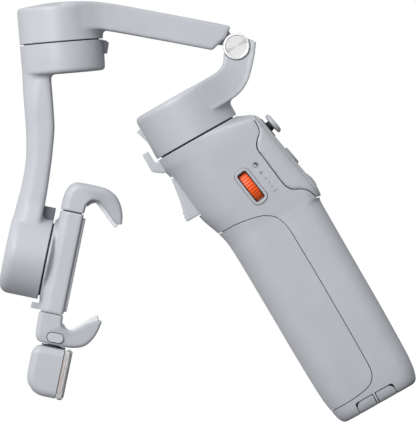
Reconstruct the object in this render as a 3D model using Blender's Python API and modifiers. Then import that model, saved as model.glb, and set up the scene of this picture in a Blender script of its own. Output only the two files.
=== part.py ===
"""Three-axis folding phone gimbal, modelled as an assembly of separate pieces.

Lengths are written in millimetres and turned into metres by the mesh helpers.
The handle stands upright: +Z runs up the handle, +X points to the thumb side
with the control pod, and the arm folds over towards -X. The origin is the
middle of the flat base.
"""
import math

import bmesh
import bpy
from mathutils import Matrix, Vector

MM = 0.001
GAP = 0.3                      # clearance between neighbouring pieces

# Handle: height, and its outline at a few heights
HANDLE_TOP = 147.2
SHELL_WALL = 3.6
SLEEVE_THICKNESS = 1.4
POD_LEAN = -10.4               # degrees, lean of the pod's thumb face
POD_FOOT = (24.3, 0.0, 101.0)  # low point of the thumb face

# Joint axes
PAN_CENTRE = (-12.6, 0.0, 148.5)
HINGE_CENTRE = (23.8, 0.0, 175.5)
TILT_CENTRE = (-45.5, 0.0, 216.9)
TILT_LEAN = 24.8               # degrees, lean of the tilt axis about Y
ROLL_CENTRE = (-100.3, 0.0, 132.8)
ROLL_LEAN = 41.1               # degrees, lean of the clamp about Y
DIAL_CENTRE = (-2.2, -18.95, 116.0)
DIAL_TURN = (4.6, -8.6, 0.0)   # degrees
TRIGGER_PIVOT = (-28.6, 0.0, 135.0)
TRUNNION_RADIUS = 1.1
TRUNNION_HALF_LENGTH = 8.1
TRUNNION_CLEARANCE = 0.2

# Motor housings
PAN_RADIUS = 21.0
PAN_HEIGHT = 21.0
TILT_RADIUS = 19.3
ROLL_RADIUS = 18.8
HOUSING_WALL = 1.6
HINGE_RADIUS = 6.2
ARM_HALF_WIDTH = 10.0

# Phone clamp, measured from the roll axis
CLAMP_HALF_WIDTH = 16.0
CLAMP_HALF_LENGTH = 23.6
CLAW_REACH = 30.2
LIGHT_HALF_WIDTH = 21.0

ROUND_STEPS = 32
INNER_STEPS = 16
WELL_STEPS = 27
CORNER_STEPS = 3

# (height, low x, high x, half width, corner radius at low x, at high x)
HANDLE_SECTIONS = [
    (0.0, -17.0, 18.0, 13.0, 9.0, 6.0),
    (1.2, -19.0, 20.1, 14.8, 11.0, 7.0),
    (4.0, -20.2, 21.3, 15.8, 12.0, 8.0),
    (8.0, -20.9, 22.1, 16.2, 12.5, 8.0),
    (15.0, -21.9, 22.6, 16.5, 13.0, 8.0),
    (40.0, -22.8, 22.8, 16.8, 13.5, 8.0),
    (70.0, -23.3, 22.5, 17.0, 14.0, 8.0),
    (94.0, -23.9, 22.5, 17.3, 14.5, 8.0),
    (96.4, -24.2, 24.0, 17.4, 15.0, 8.0),
    (101.0, -24.9, 24.3, 17.7, 15.5, 7.0),
    (106.0, -26.5, 23.4, 18.1, 16.5, 6.5),
    (113.0, -29.1, 22.1, 18.65, 18.0, 6.5),
    (120.0, -30.5, 20.8, 19.2, 19.0, 6.5),
    (130.0, -31.6, 19.0, 20.0, 19.9, 6.5),
    (138.0, -32.5, 17.5, 20.6, 20.5, 7.0),
    (142.4, -33.5, 16.6, 20.8, 20.7, 8.0),
    (144.8, -33.6, 13.8, 20.9, 20.8, 13.0),
    (HANDLE_TOP, -33.6, 8.4, 21.0, 20.9, 20.9),
]

# Edge of the soft grip, up one side of the handle
GRIP_EDGE = [
    (-40.0, 7.7), (-20.7, 7.7), (-10.0, 7.9), (-3.0, 8.8), (0.8, 10.2), (3.0, 12.0), (4.1, 15.0),
    (4.3, 20.0), (4.0, 65.0), (3.3, 90.0), (2.3, 94.5), (1.0, 97.5), (-1.0, 99.5),
    (-4.0, 101.3), (-8.0, 102.5), (-13.0, 103.5), (-18.0, 104.1), (-40.0, 103.9),
]

# Edge of the control pod where it seats in the handle, closed outside the handle
POD_SEAM = [
    (14.2, 142.7), (14.1, 138.0), (13.2, 135.5), (11.5, 134.0), (9.8, 132.0), (8.9, 130.0),
    (8.8, 128.0), (9.3, 125.0), (11.2, 110.5), (12.2, 107.5), (14.0, 105.2), (17.0, 103.8),
    (19.5, 101.8), (21.0, 99.0), (21.8, 96.7), (23.4, 96.2),
]

# Neck: (upper edge, lower edge, half width)
NECK_STATIONS = [
    ((-6.0, 169.2), (-6.0, 155.2), 16.0),
    ((4.0, 169.4), (4.0, 155.0), 13.5),
    ((10.0, 169.6), (10.0, 155.8), 11.6),
    ((13.5, 171.3), (16.0, 157.7), 10.8),
    ((15.8, 173.6), (21.0, 161.0), 10.2),
    ((16.8, 175.4), (25.0, 165.2), ARM_HALF_WIDTH),
    ((30.4, 175.6), (30.0, 170.3), ARM_HALF_WIDTH),
    ((30.9, 175.6), (32.6, 172.6), ARM_HALF_WIDTH),
]

# Fold arm, in the tilt frame: (upper edge, lower edge, half width)
ARM_STATIONS = [
    ((4.0, 18.3), (4.0, 4.6), 16.0),
    ((14.0, 17.6), (15.0, 4.6), 13.0),
    ((20.0, 16.7), (20.0, 4.0), 11.8),
    ((30.0, 14.4), (30.0, 1.4), 10.8),
    ((50.0, 9.0), (48.0, -3.4), ARM_HALF_WIDTH),
    ((72.0, 2.9), (69.0, -9.2), ARM_HALF_WIDTH),
    ((78.4, 0.9), (75.5, -4.2), ARM_HALF_WIDTH),
]

# Roll arm, in the tilt frame: (outer edge, inner edge, half width)
ROLL_ARM_STATIONS = [
    ((-19.2, -5.0), (-6.4, -5.0), 14.0),
    ((-19.5, -20.0), (-6.1, -20.0), 12.5),
    ((-19.5, -36.0), (-6.3, -36.0), 11.5),
    ((-20.4, -50.0), (-8.3, -50.0), 11.0),
    ((-23.0, -62.0), (-10.6, -61.0), 10.8),
    ((-26.4, -72.0), (-13.0, -71.0), 11.0),
    ((-30.0, -83.0), (-15.6, -80.5), 12.0),
    ((-32.0, -91.0), (-18.0, -90.0), 12.5),
]

# Claw, from the seam with the clamp body round to the tip, drawn for the upper one
CLAW_STATIONS = [
    ((1.2, 24.0), (12.0, 24.0), 16.0),
    ((1.4, 30.0), (12.2, 27.6), 16.0),
    ((2.6, 34.6), (12.7, 29.0), 16.0),
    ((6.5, 37.7), (13.6, 30.2), 16.0),
    ((13.0, 37.9), (15.2, 31.0), 15.4),
    ((19.0, 37.6), (17.5, 31.0), 14.4),
    ((24.6, 35.3), (19.8, 29.4), 13.4),
    ((28.0, 31.0), (23.6, 26.1), 12.4),
    ((29.8, 26.0), (26.6, 23.4), 11.8),
    ((CLAW_REACH, 22.6), (28.3, 22.5), 11.5),
]
CLAW_PAD_OUTLINE = [(18.1, 29.9), (26.6, 22.7), (27.9, 21.9), (27.4, 20.8), (26.4, 21.4), (17.5, 28.9)]

COLOURS = {
    "shell": ((0.46, 0.48, 0.52), 0.42, 0.0),
    "grip": ((0.40, 0.42, 0.46), 0.75, 0.0),
    "dark": ((0.04, 0.04, 0.05), 0.50, 0.0),
    "stop": ((0.16, 0.17, 0.19), 0.55, 0.0),
    "orange": ((0.90, 0.16, 0.02), 0.45, 0.0),
    "steel": ((0.60, 0.61, 0.63), 0.30, 1.0),
    "spun": ((0.75, 0.75, 0.77), 0.25, 1.0),
    "copper": ((0.60, 0.25, 0.10), 0.40, 1.0),
    "rubber": ((0.45, 0.47, 0.50), 0.80, 0.0),
    "cell": ((0.08, 0.20, 0.35), 0.50, 0.0),
    "board": ((0.02, 0.16, 0.07), 0.60, 0.0),
    "diffuser": ((0.90, 0.90, 0.92), 0.30, 0.0),
    "led": ((0.95, 0.50, 0.25), 0.50, 0.0),
}


# ---------------------------------------------------------------- scene and materials

def clear_scene():
    for old in list(bpy.data.objects):
        bpy.data.objects.remove(old, do_unlink=True)


def new_collection(name):
    collection = bpy.data.collections.new(name)
    bpy.context.scene.collection.children.link(collection)
    return collection


def new_material(name):
    colour, roughness, metallic = COLOURS[name]
    material = bpy.data.materials.new(name)
    material.use_nodes = True
    shader = material.node_tree.nodes["Principled BSDF"]
    shader.inputs["Base Color"].default_value = (*colour, 1.0)
    shader.inputs["Roughness"].default_value = roughness
    shader.inputs["Metallic"].default_value = metallic
    return material


def frame_at(name, centre, turn=(0.0, 0.0, 0.0)):
    """An empty that carries the pieces of one sub-assembly."""
    empty = bpy.data.objects.new(name, None)
    empty.location = Vector(centre) * MM
    empty.rotation_euler = [math.radians(angle) for angle in turn]
    PARTS.objects.link(empty)
    return empty


def keep(name, mesh, material, frame=None):
    """Add a finished piece to the assembly."""
    piece = bpy.data.objects.new(name, mesh)
    piece.parent = frame
    piece.data.materials.append(MATERIALS[material])
    PARTS.objects.link(piece)
    return piece


def guide(name, mesh, frame=None):
    """Add a shape that only cuts or completes other pieces."""
    shape = bpy.data.objects.new(name, mesh)
    shape.parent = frame
    shape.hide_render = True
    shape.display_type = "WIRE"
    CUTTERS.objects.link(shape)
    return shape


def combine(piece, operation, *tools, solver="EXACT"):
    for tool in tools:
        modifier = piece.modifiers.new(operation.lower(), "BOOLEAN")
        modifier.solver = solver
        modifier.operation = operation
        modifier.object = tool
    return piece


def cut(piece, *tools, solver="EXACT"):
    return combine(piece, "DIFFERENCE", *tools, solver=solver)


def join(piece, *tools):
    return combine(piece, "UNION", *tools)


# ---------------------------------------------------------------- mesh helpers

def finish_mesh(name, shape):
    bmesh.ops.recalc_face_normals(shape, faces=shape.faces)
    mesh = bpy.data.meshes.new(name)
    shape.to_mesh(mesh)
    shape.free()
    return mesh


def box_mesh(low, high):
    shape = bmesh.new()
    bmesh.ops.create_cube(shape, size=1.0)
    low = Vector(low) * MM
    high = Vector(high) * MM
    bmesh.ops.scale(shape, vec=high - low, verts=shape.verts)
    bmesh.ops.translate(shape, vec=(high + low) / 2, verts=shape.verts)
    return finish_mesh("box", shape)


def rounded_box_mesh(low, high, radius, along=None):
    """A box with round edges: all of them, or only those that run along one axis."""
    shape = bmesh.new()
    bmesh.ops.create_cube(shape, size=1.0)
    low = Vector(low) * MM
    high = Vector(high) * MM
    bmesh.ops.scale(shape, vec=high - low, verts=shape.verts)
    bmesh.ops.translate(shape, vec=(high + low) / 2, verts=shape.verts)
    edges = [edge for edge in shape.edges if along is None or runs_along(edge, along)]
    bmesh.ops.bevel(shape, geom=edges, offset=radius * MM, segments=2, profile=0.5, affect="EDGES")
    return finish_mesh("rounded_box", shape)


def runs_along(edge, axis):
    direction = edge.verts[1].co - edge.verts[0].co
    return abs(direction["XYZ".index(axis)]) > 0.9 * direction.length


def axis_matrix(axis, centre):
    turns = {
        "Z": Matrix.Identity(4),
        "Y": Matrix.Rotation(math.radians(-90.0), 4, "X"),
        "X": Matrix.Rotation(math.radians(90.0), 4, "Y"),
    }
    return Matrix.Translation(Vector(centre) * MM) @ turns[axis]


def cylinder_mesh(radius, low, high, axis="Z", centre=(0.0, 0.0, 0.0), steps=ROUND_STEPS):
    """A round bar between two places along its axis."""
    shape = bmesh.new()
    bmesh.ops.create_cone(shape, cap_ends=True, segments=steps, radius1=radius * MM,
                          radius2=radius * MM, depth=(high - low) * MM)
    bmesh.ops.translate(shape, vec=(0.0, 0.0, (low + high) / 2 * MM), verts=shape.verts)
    bmesh.ops.transform(shape, matrix=axis_matrix(axis, centre), verts=shape.verts)
    return finish_mesh("cylinder", shape)


def turned_mesh(profile, axis="Z", centre=(0.0, 0.0, 0.0), steps=ROUND_STEPS):
    """A (radius, height) profile, top to bottom down its outer side, turned by a Screw."""
    line = bpy.data.meshes.new("profile")
    points = [(radius * MM, 0.0, height * MM) for radius, height in profile]
    line.from_pydata(points, [(i, i + 1) for i in range(len(points) - 1)], [])
    turned = guide("turned", line)
    screw = turned.modifiers.new("screw", "SCREW")
    screw.steps = steps
    screw.render_steps = steps
    screw.use_merge_vertices = True
    screw.merge_threshold = 0.00001
    mesh = mesh_of(turned)
    mesh.transform(axis_matrix(axis, centre))
    shade_round(mesh)
    return mesh


def ring_profile(inner, outer, low, high):
    return [(inner, high), (outer, high), (outer, low), (inner, low), (inner, high)]


def mesh_of(drawn):
    """The evaluated mesh of a temporary object, which is then removed."""
    bpy.context.view_layer.update()
    graph = bpy.context.evaluated_depsgraph_get()
    mesh = bpy.data.meshes.new_from_object(drawn.evaluated_get(graph))
    bpy.data.objects.remove(drawn, do_unlink=True)
    shape = bmesh.new()
    shape.from_mesh(mesh)
    bmesh.ops.remove_doubles(shape, verts=shape.verts, dist=0.000001)
    shape.to_mesh(mesh)
    shape.free()
    return mesh


def shade_round(mesh):
    mesh.shade_smooth()
    mesh.set_sharp_from_angle(angle=math.radians(35.0))


def plate_mesh(outline, low_y, high_y):
    """A flat outline drawn in X and Z, with thickness along Y."""
    curve = bpy.data.curves.new("outline", "CURVE")
    curve.dimensions = "2D"
    curve.fill_mode = "BOTH"
    curve.extrude = (high_y - low_y) / 2 * MM
    spline = curve.splines.new("POLY")
    spline.points.add(len(outline) - 1)
    for point, (x, z) in zip(spline.points, outline):
        point.co = (x * MM, z * MM, 0.0, 1.0)
    spline.use_cyclic_u = True
    drawn = bpy.data.objects.new("outline", curve)
    CUTTERS.objects.link(drawn)
    mesh = mesh_of(drawn)
    stand_up = Matrix.Rotation(math.radians(90.0), 4, "X")
    mesh.transform(Matrix.Translation((0.0, (low_y + high_y) / 2 * MM, 0.0)) @ stand_up)
    return mesh


def rounded_ring(low, high, half_width, low_radius, high_radius):
    """Points of a rounded rectangle from low to high and across its half width."""
    corners = [
        (high - high_radius, half_width - high_radius, high_radius, 0.0),
        (low + low_radius, half_width - low_radius, low_radius, 90.0),
        (low + low_radius, low_radius - half_width, low_radius, 180.0),
        (high - high_radius, high_radius - half_width, high_radius, 270.0),
    ]
    ring = []
    for centre_x, centre_y, radius, start in corners:
        for step in range(CORNER_STEPS + 1):
            angle = math.radians(start + 90.0 * step / CORNER_STEPS)
            ring.append((centre_x + radius * math.cos(angle), centre_y + radius * math.sin(angle)))
    return ring


def loft_mesh(rings):
    """A closed solid through rings that all have the same number of points."""
    shape = bmesh.new()
    loops = [[shape.verts.new(Vector(point) * MM) for point in ring] for ring in rings]
    for lower, upper in zip(loops, loops[1:]):
        for i in range(len(lower)):
            j = (i + 1) % len(lower)
            shape.faces.new((lower[i], lower[j], upper[j], upper[i]))
    shape.faces.new(loops[0])
    shape.faces.new(loops[-1])
    return finish_mesh("loft", shape)


def beam_mesh(stations, first_radius, second_radius):
    """A beam between two drawn edges, with a rounded section at each station."""
    rings = []
    for first, second, half_width in stations:
        start = Vector((first[0], 0.0, first[1]))
        across = Vector((second[0], 0.0, second[1])) - start
        depth = across.length
        reach = min(half_width, depth / 2) - 0.1
        ring = rounded_ring(0.0, depth, half_width, min(first_radius, reach), min(second_radius, reach))
        rings.append([start + across / depth * s + Vector((0.0, y, 0.0)) for s, y in ring])
    return loft_mesh(rings)


def grow_outline(outline, distance):
    """The outline moved outwards, for a seat with clearance round a piece."""
    area = sum(a[0] * b[1] - b[0] * a[1] for a, b in zip(outline, outline[1:] + outline[:1]))
    side = math.copysign(1.0, area)
    grown = []
    for before, here, after in zip(outline[-1:] + outline[:-1], outline, outline[1:] + outline[:1]):
        first = (Vector(here) - Vector(before)).normalized()
        second = (Vector(after) - Vector(here)).normalized()
        first_normal = Vector((first.y, -first.x)) * side
        second_normal = Vector((second.y, -second.x)) * side
        middle = (first_normal + second_normal).normalized()
        stretch = distance / max(0.5, middle.dot(first_normal))
        grown.append((here[0] + middle.x * stretch, here[1] + middle.y * stretch))
    return grown


def mirrored(outline):
    return [(x, -z) for x, z in reversed(outline)]


# ---------------------------------------------------------------- handle

def skin_mesh(inset):
    """The handle's outer form, moved inwards by inset."""
    rings = []
    for height, low, high, half_width, low_radius, high_radius in HANDLE_SECTIONS:
        height = min(max(height, inset), HANDLE_TOP - inset)
        if rings and height <= rings[-1][0][2] + 0.01:
            rings.pop()
        ring = rounded_ring(low + inset, high - inset, half_width - inset,
                            low_radius - inset, high_radius - inset)
        rings.append([(x, y, height) for x, y in ring])
    return loft_mesh(rings)


def pod_outline():
    return POD_SEAM + [(40.0, 96.2), (40.0, 142.7)]


def sleeve_cutter(skin_under):
    return cut(guide("sleeve_cutter", plate_mesh(grow_outline(GRIP_EDGE, GAP), -30.0, 30.0)), skin_under)


def shell_cutters(dial_frame):
    """Every shape that opens the handle's two half shells."""
    under = guide("under_sleeve", skin_mesh(SLEEVE_THICKNESS + GAP))
    return [
        sleeve_cutter(under),
        guide("cavity", skin_mesh(SHELL_WALL)),
        guide("pod_seat", plate_mesh(grow_outline(pod_outline(), GAP), -30.0, 30.0)),
        guide("trigger_slot", box_mesh((-40.0, -6.9, 115.8), (-25.0, 6.9, 137.9))),
        guide("base_seat", box_mesh((-15.0, -11.0, -1.0), (16.0, 11.0, 4.2))),
        guide("front_feet_notch", box_mesh((-9.9, -20.0, -1.0), (9.9, -10.0, 5.5))),
        guide("rear_foot_notch", box_mesh((-5.3, 10.0, -1.0), (5.3, 20.0, 5.5))),
        guide("usb_hole", box_mesh((17.0, -4.9, 82.0), (30.0, 4.9, 86.0))),
        guide("dial_pocket", cylinder_mesh(10.4, -2.5, 2.5, "X", (0.0, 8.8, 0.0)), dial_frame),
        guide("dial_seat", rounded_box_mesh((-4.2, -3.0, -9.6), (4.2, 1.4, 9.6), 3.0, "Y"), dial_frame),
    ]


def handle_shell(name, side, cutters):
    shell = keep(name, skin_mesh(0.0), "shell")
    cut(shell, *cutters)
    low = (-60.0, -40.0, -10.0) if side > 0 else (-60.0, -GAP / 2, -10.0)
    high = (60.0, GAP / 2, 160.0) if side > 0 else (60.0, 40.0, 160.0)
    cut(shell, guide(name + "_half", box_mesh(low, high)))
    reach = TRUNNION_HALF_LENGTH + GAP
    bore = cylinder_mesh(TRUNNION_RADIUS + TRUNNION_CLEARANCE, -reach, reach, "Y", TRIGGER_PIVOT,
                         steps=INNER_STEPS)
    return cut(shell, guide(name + "_trunnion_bore", bore), solver="MANIFOLD")


def grip_sleeve():
    sleeve = keep("grip_sleeve", plate_mesh(GRIP_EDGE, -30.0, 30.0), "grip")
    combine(sleeve, "INTERSECT", guide("sleeve_outside", skin_mesh(0.0)))
    cut(sleeve, guide("sleeve_inside", skin_mesh(SLEEVE_THICKNESS)))


def base_cap():
    cap = keep("base_cap", rounded_box_mesh((-14.7, -10.7, 0.0), (15.7, 10.7, 2.5), 2.0, "Z"), "shell")
    cut(cap, guide("front_legs_slot", box_mesh((-9.9, -20.0, -5.0), (9.9, -3.7, 10.0))))
    cut(cap, guide("rear_leg_slot", box_mesh((-5.3, 3.7, -5.0), (5.3, 20.0, 10.0))))


def stow_hook(skin_clear):
    outline = [(-38.6, 153.3), (-35.5, 153.3), (-35.4, 147.6), (-30.0, 147.0), (-30.0, 141.2),
               (-34.4, 141.2), (-38.6, 144.5)]
    cut(keep("stow_hook", plate_mesh(outline, -5.0, 5.0), "shell"), skin_clear)


def trigger():
    frame = frame_at("trigger_frame", TRIGGER_PIVOT)
    outline = [(-4.0, 2.3), (-4.4, -3.0), (-5.2, -8.0), (-6.2, -13.0), (-6.9, -15.5), (-7.6, -18.0),
               (-7.2, -18.7), (1.3, -18.7), (1.3, 2.3)]
    lever = keep("trigger", plate_mesh(outline, -6.5, 6.5), "shell", frame)
    trunnions = cylinder_mesh(TRUNNION_RADIUS, -TRUNNION_HALF_LENGTH, TRUNNION_HALF_LENGTH, "Y",
                              steps=INNER_STEPS)
    join(lever, guide("trigger_trunnions", trunnions, frame))


def dial(frame):
    hub = (0.0, 8.8, 0.0)
    wheel = keep("dial_wheel", cylinder_mesh(10.0, -2.1, 2.1, "X", hub), "orange", frame)
    cut(wheel, guide("dial_bore", cylinder_mesh(1.3, -5.0, 5.0, "X", hub, INNER_STEPS), frame))
    keep("dial_axle", cylinder_mesh(1.0, -5.0, 5.0, "X", hub, INNER_STEPS), "steel", frame)
    bezel = keep("dial_bezel", rounded_box_mesh((-3.85, -0.4, -9.25), (3.85, 1.1, 9.25), 2.8, "Y"), "shell",
                 frame)
    cut(bezel, guide("dial_window", rounded_box_mesh((-2.4, -5.0, -7.6), (2.4, 5.0, 7.6), 0.6, "Y"), frame))
    cut(bezel, guide("dial_wheel_clear", cylinder_mesh(10.4, -2.45, 2.45, "X", hub), frame))


def usb_port():
    port = keep("usb_port", rounded_box_mesh((18.0, -4.5, 82.3), (22.2, 4.5, 85.7), 1.2, "X"), "steel")
    cut(port, guide("usb_mouth", rounded_box_mesh((19.0, -4.1, 82.7), (25.0, 4.1, 85.3), 1.0, "X")))


def inner_parts():
    keep("battery_pack", rounded_box_mesh((-16.5, -10.0, 62.0), (15.0, 10.0, 98.0), 3.0, "Z"), "cell")
    keep("main_board", box_mesh((-22.0, 6.0, 108.0), (4.0, 7.6, 140.0)), "board")


def tripod():
    keep("tripod_hub", rounded_box_mesh((-10.0, -11.5, 50.3), (10.0, 11.5, 58.0), 2.0, "Z"), "stop")
    legs = [("tripod_leg_1", -9.6, -0.5, -1), ("tripod_leg_2", 0.5, 9.6, -1), ("tripod_leg_3", -5.0, 5.0, 1)]
    for name, low_x, high_x, side in legs:
        inner, outer = sorted((4.0 * side, 11.9 * side))
        leg = keep(name, box_mesh((low_x, inner, 0.0), (high_x, outer, 50.0)), "stop")
        near, far = sorted((11.0 * side, 16.0 * side))
        join(leg, guide(name + "_foot", box_mesh((low_x, near, 0.0), (high_x, far, 5.2))))


def remote_pod():
    """Clip-on control pod: its body, thumb face, joystick and two buttons."""
    frame = frame_at("pod_frame", POD_FOOT, (0.0, POD_LEAN, 0.0))
    outside = guide("pod_outside", skin_mesh(0.0))
    joystick_at = (0.0, 0.0, 35.3)
    record_at = (0.0, 0.0, 18.4)
    joystick_well = cylinder_mesh(3.3, -3.0, 5.0, "X", joystick_at, WELL_STEPS)
    record_well = cylinder_mesh(4.9, -3.2, 5.0, "X", record_at, WELL_STEPS)
    mode_well = rounded_box_mesh((-3.2, -6.4, 0.1), (5.0, 6.4, 7.9), 3.0, "X")
    body = keep("remote_body", plate_mesh(pod_outline(), -30.0, 30.0), "shell")
    combine(body, "INTERSECT", outside)
    cut(body, guide("pod_front", box_mesh((-1.8, -40.0, -30.0), (60.0, 40.0, 70.0)), frame))
    wells = [guide("joystick_well", joystick_well, frame), guide("record_well", record_well, frame),
             guide("mode_well", mode_well, frame)]
    cut(body, *wells, solver="MANIFOLD")
    joystick_hole = cylinder_mesh(5.6, -5.0, 5.0, "X", joystick_at, WELL_STEPS)
    face = keep("remote_face", plate_mesh(pod_outline(), -30.0, 30.0), "shell")
    combine(face, "INTERSECT", outside)
    cut(face, guide("pod_back", box_mesh((-60.0, -40.0, -50.0), (-1.5, 40.0, 70.0)), frame))
    cut(face, guide("joystick_hole", joystick_hole, frame), *wells[1:], solver="MANIFOLD")
    keep("joystick_bezel", turned_mesh(ring_profile(3.9, 5.3, -1.4, 0.9), "X", joystick_at), "dark", frame)
    keep("joystick_yoke", turned_mesh(ring_profile(1.9, 2.9, -2.3, -1.6), "X", joystick_at, INNER_STEPS),
         "steel", frame)
    cap = [(0.0, 4.8), (2.6, 4.7), (4.2, 4.1), (5.0, 3.1), (4.9, 2.4), (1.9, 2.2), (1.9, 0.3), (1.4, 0.0),
           (1.4, -2.5), (0.0, -2.5)]
    keep("joystick_cap", turned_mesh(cap, "X", joystick_at), "shell", frame)
    button = [(0.0, 1.0), (3.9, 0.9), (4.5, 0.4), (4.5, -1.6), (0.0, -1.6)]
    keep("record_button", turned_mesh(button, "X", record_at), "shell", frame)
    keep("mode_button", rounded_box_mesh((-1.6, -6.0, 0.5), (0.8, 6.0, 7.5), 2.8, "X"), "shell", frame)


def remote_cradle():
    """Wall of the handle behind the pod."""
    far_side = grow_outline(pod_outline(), GAP + 2.4)
    cradle = keep("remote_cradle", plate_mesh(far_side, -30.0, 30.0), "shell")
    cut(cradle, guide("cradle_front", plate_mesh(grow_outline(pod_outline(), GAP + 0.4), -40.0, 40.0)))
    combine(cradle, "INTERSECT", guide("cradle_room", skin_mesh(SHELL_WALL + GAP)))


def handle():
    dial_frame = frame_at("dial_frame", DIAL_CENTRE, DIAL_TURN)
    cutters = shell_cutters(dial_frame)
    handle_shell("handle_shell_left", -1, cutters)
    handle_shell("handle_shell_right", 1, cutters)
    grip_sleeve()
    base_cap()
    stow_hook(guide("skin_clear", skin_mesh(-GAP)))
    trigger()
    dial(dial_frame)
    usb_port()
    inner_parts()
    tripod()
    remote_cradle()
    remote_pod()


# ---------------------------------------------------------------- motors and arms

def motor(name, frame, seat_radius, rotor_radius, top, low):
    """Brushless motor: seat with its shaft, windings, bearing, and the rotor bell round them."""
    seat = [(0.0, top - 3.6), (4.0, top - 3.6), (4.0, 1.6), (seat_radius, 1.6), (seat_radius, low), (0.0, low)]
    bell = [(0.0, top - 0.3), (rotor_radius, top - 0.3), (rotor_radius, 3.2), (rotor_radius - 3.0, 3.2),
            (rotor_radius - 3.0, top - 3.0), (0.0, top - 3.0)]
    keep(name + "_motor_seat", turned_mesh(seat, steps=ROUND_STEPS), "dark", frame)
    keep(name + "_rotor", turned_mesh(bell, steps=INNER_STEPS), "steel", frame)
    stator = ring_profile(4.3, rotor_radius - 3.5, 2.2, top - 7.6)
    keep(name + "_stator", turned_mesh(stator, steps=INNER_STEPS), "copper", frame)
    bearing = ring_profile(4.3, 8.0, top - 7.0, top - 3.6)
    keep(name + "_bearing", turned_mesh(bearing, steps=INNER_STEPS), "steel", frame)


def housing_profile(radius, top, corner, open_end):
    """Outside of a motor housing, from its closed end with a round corner to its open end."""
    profile = [(0.0, top), (radius - corner, top)]
    for step in range(1, CORNER_STEPS + 1):
        angle = math.radians(90.0 * step / CORNER_STEPS)
        profile.append((radius - corner + corner * math.sin(angle), top - corner + corner * math.cos(angle)))
    return profile + [(radius, open_end), (0.0, open_end)]


def bay_mesh(radius, low, high, axis="Z"):
    """Room inside a motor housing of the given outer radius."""
    return cylinder_mesh(radius - HOUSING_WALL, low, high, axis)


def hinge_shapes(frame):
    """Round shapes of the fold hinge, shared by the neck and the fold arm."""
    return {
        "hub": guide("neck_hub", cylinder_mesh(5.8, -9.9, 9.9, "Y"), frame),
        "slot": guide("hinge_slot", cylinder_mesh(6.5, -5.0, 5.0, "Y"), frame),
        "slot_mouth": guide("hinge_slot_mouth", box_mesh((-14.0, -4.95, -2.1), (0.35, 4.95, 12.0)), frame),
        "front": guide("front_cap_seat", cylinder_mesh(6.5, -20.0, -7.3, "Y"), frame),
        "rear": guide("rear_cap_seat", cylinder_mesh(6.5, 7.3, 20.0, "Y"), frame),
        "bore": guide("pin_bore", cylinder_mesh(2.3, -20.0, 20.0, "Y", steps=INNER_STEPS), frame),
    }


def pan_housing(frame, hinge):
    drum = turned_mesh(housing_profile(PAN_RADIUS, PAN_HEIGHT, 2.6, 0.0))
    housing = keep("pan_housing", drum, "shell", frame)
    neck = guide("neck", beam_mesh(NECK_STATIONS, 1.2, 1.8))
    join(housing, neck, hinge["hub"])
    bay = guide("pan_bay", bay_mesh(PAN_RADIUS, -5.0, PAN_HEIGHT - 3.4), frame)
    cut(housing, bay, hinge["slot"])
    cut(housing, hinge["slot_mouth"], hinge["front"], hinge["rear"], hinge["bore"], solver="MANIFOLD")
    tab = [(-23.1, 15.2), (-21.3, 15.8), (-21.3, 7.7)]
    keep("pan_stop_tab", plate_mesh(tab, -3.0, 3.0), "stop", frame)


def hinge_hardware(frame):
    keep("hinge_pin", cylinder_mesh(2.0, -7.0, 7.0, "Y", steps=INNER_STEPS), "steel", frame)
    cap = [(0.0, 10.5), (HINGE_RADIUS - 0.7, 10.5), (HINGE_RADIUS, 9.9), (HINGE_RADIUS, 7.6), (0.0, 7.6)]
    keep("hinge_cap_rear", turned_mesh(cap, "Y"), "spun", frame)
    front = turned_mesh(cap, "Y")
    front.transform(Matrix.Rotation(math.pi, 4, "X"))
    keep("hinge_cap_front", front, "spun", frame)


def fold_arm(tilt_frame, hinge_frame, hinge):
    drum = turned_mesh(housing_profile(TILT_RADIUS, 18.6, 2.0, 0.6))
    arm = keep("fold_arm", drum, "shell", tilt_frame)
    join(arm, guide("arm_beam", beam_mesh(ARM_STATIONS, 1.2, 0.8), tilt_frame))
    tongue = [(0.5, 5.6), (0.5, 8.4), (-9.0, 8.0), (-9.6, 5.0), (-5.6, 1.5), (0.0, 0.0)]
    join(arm, guide("arm_tongue", plate_mesh(tongue, -4.6, 4.6), hinge_frame))
    join(arm, guide("arm_knuckle", cylinder_mesh(5.9, -4.7, 4.7, "Y"), hinge_frame))
    bay = guide("tilt_bay", bay_mesh(TILT_RADIUS, -1.0, 15.6), tilt_frame)
    cut(arm, bay, hinge["bore"])


def roll_arm(tilt_frame, roll_frame):
    lower = turned_mesh(housing_profile(TILT_RADIUS, 14.3, 1.6, 0.4))
    lower.transform(Matrix.Rotation(math.pi, 4, "X"))
    arm = keep("roll_arm", lower, "shell", tilt_frame)
    join(arm, guide("roll_arm_beam", beam_mesh(ROLL_ARM_STATIONS, 6.0, 1.2), tilt_frame))
    roll_drum = turned_mesh(housing_profile(ROLL_RADIUS, 20.0, 5.0, 1.3))
    roll_drum.transform(Matrix.Rotation(math.radians(-90.0), 4, "Y"))
    join(arm, guide("roll_drum", roll_drum, roll_frame))
    cut(arm, guide("tilt_lower_bay", bay_mesh(TILT_RADIUS, -11.0, 2.0), tilt_frame))
    cut(arm, guide("roll_bay", bay_mesh(ROLL_RADIUS, -17.0, 2.0, "X"), roll_frame))
    tab = [(19.6, -0.6), (20.6, -0.8), (21.8, -2.0), (20.6, -6.8), (19.6, -6.8)]
    keep("tilt_stop_tab", plate_mesh(tab, -3.0, 3.0), "stop", tilt_frame)
    keep("roll_arm_stop", box_mesh((-5.4, -4.0, 19.1), (-1.2, 4.0, 24.0)), "stop", roll_frame)


# ---------------------------------------------------------------- phone clamp and light

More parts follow.
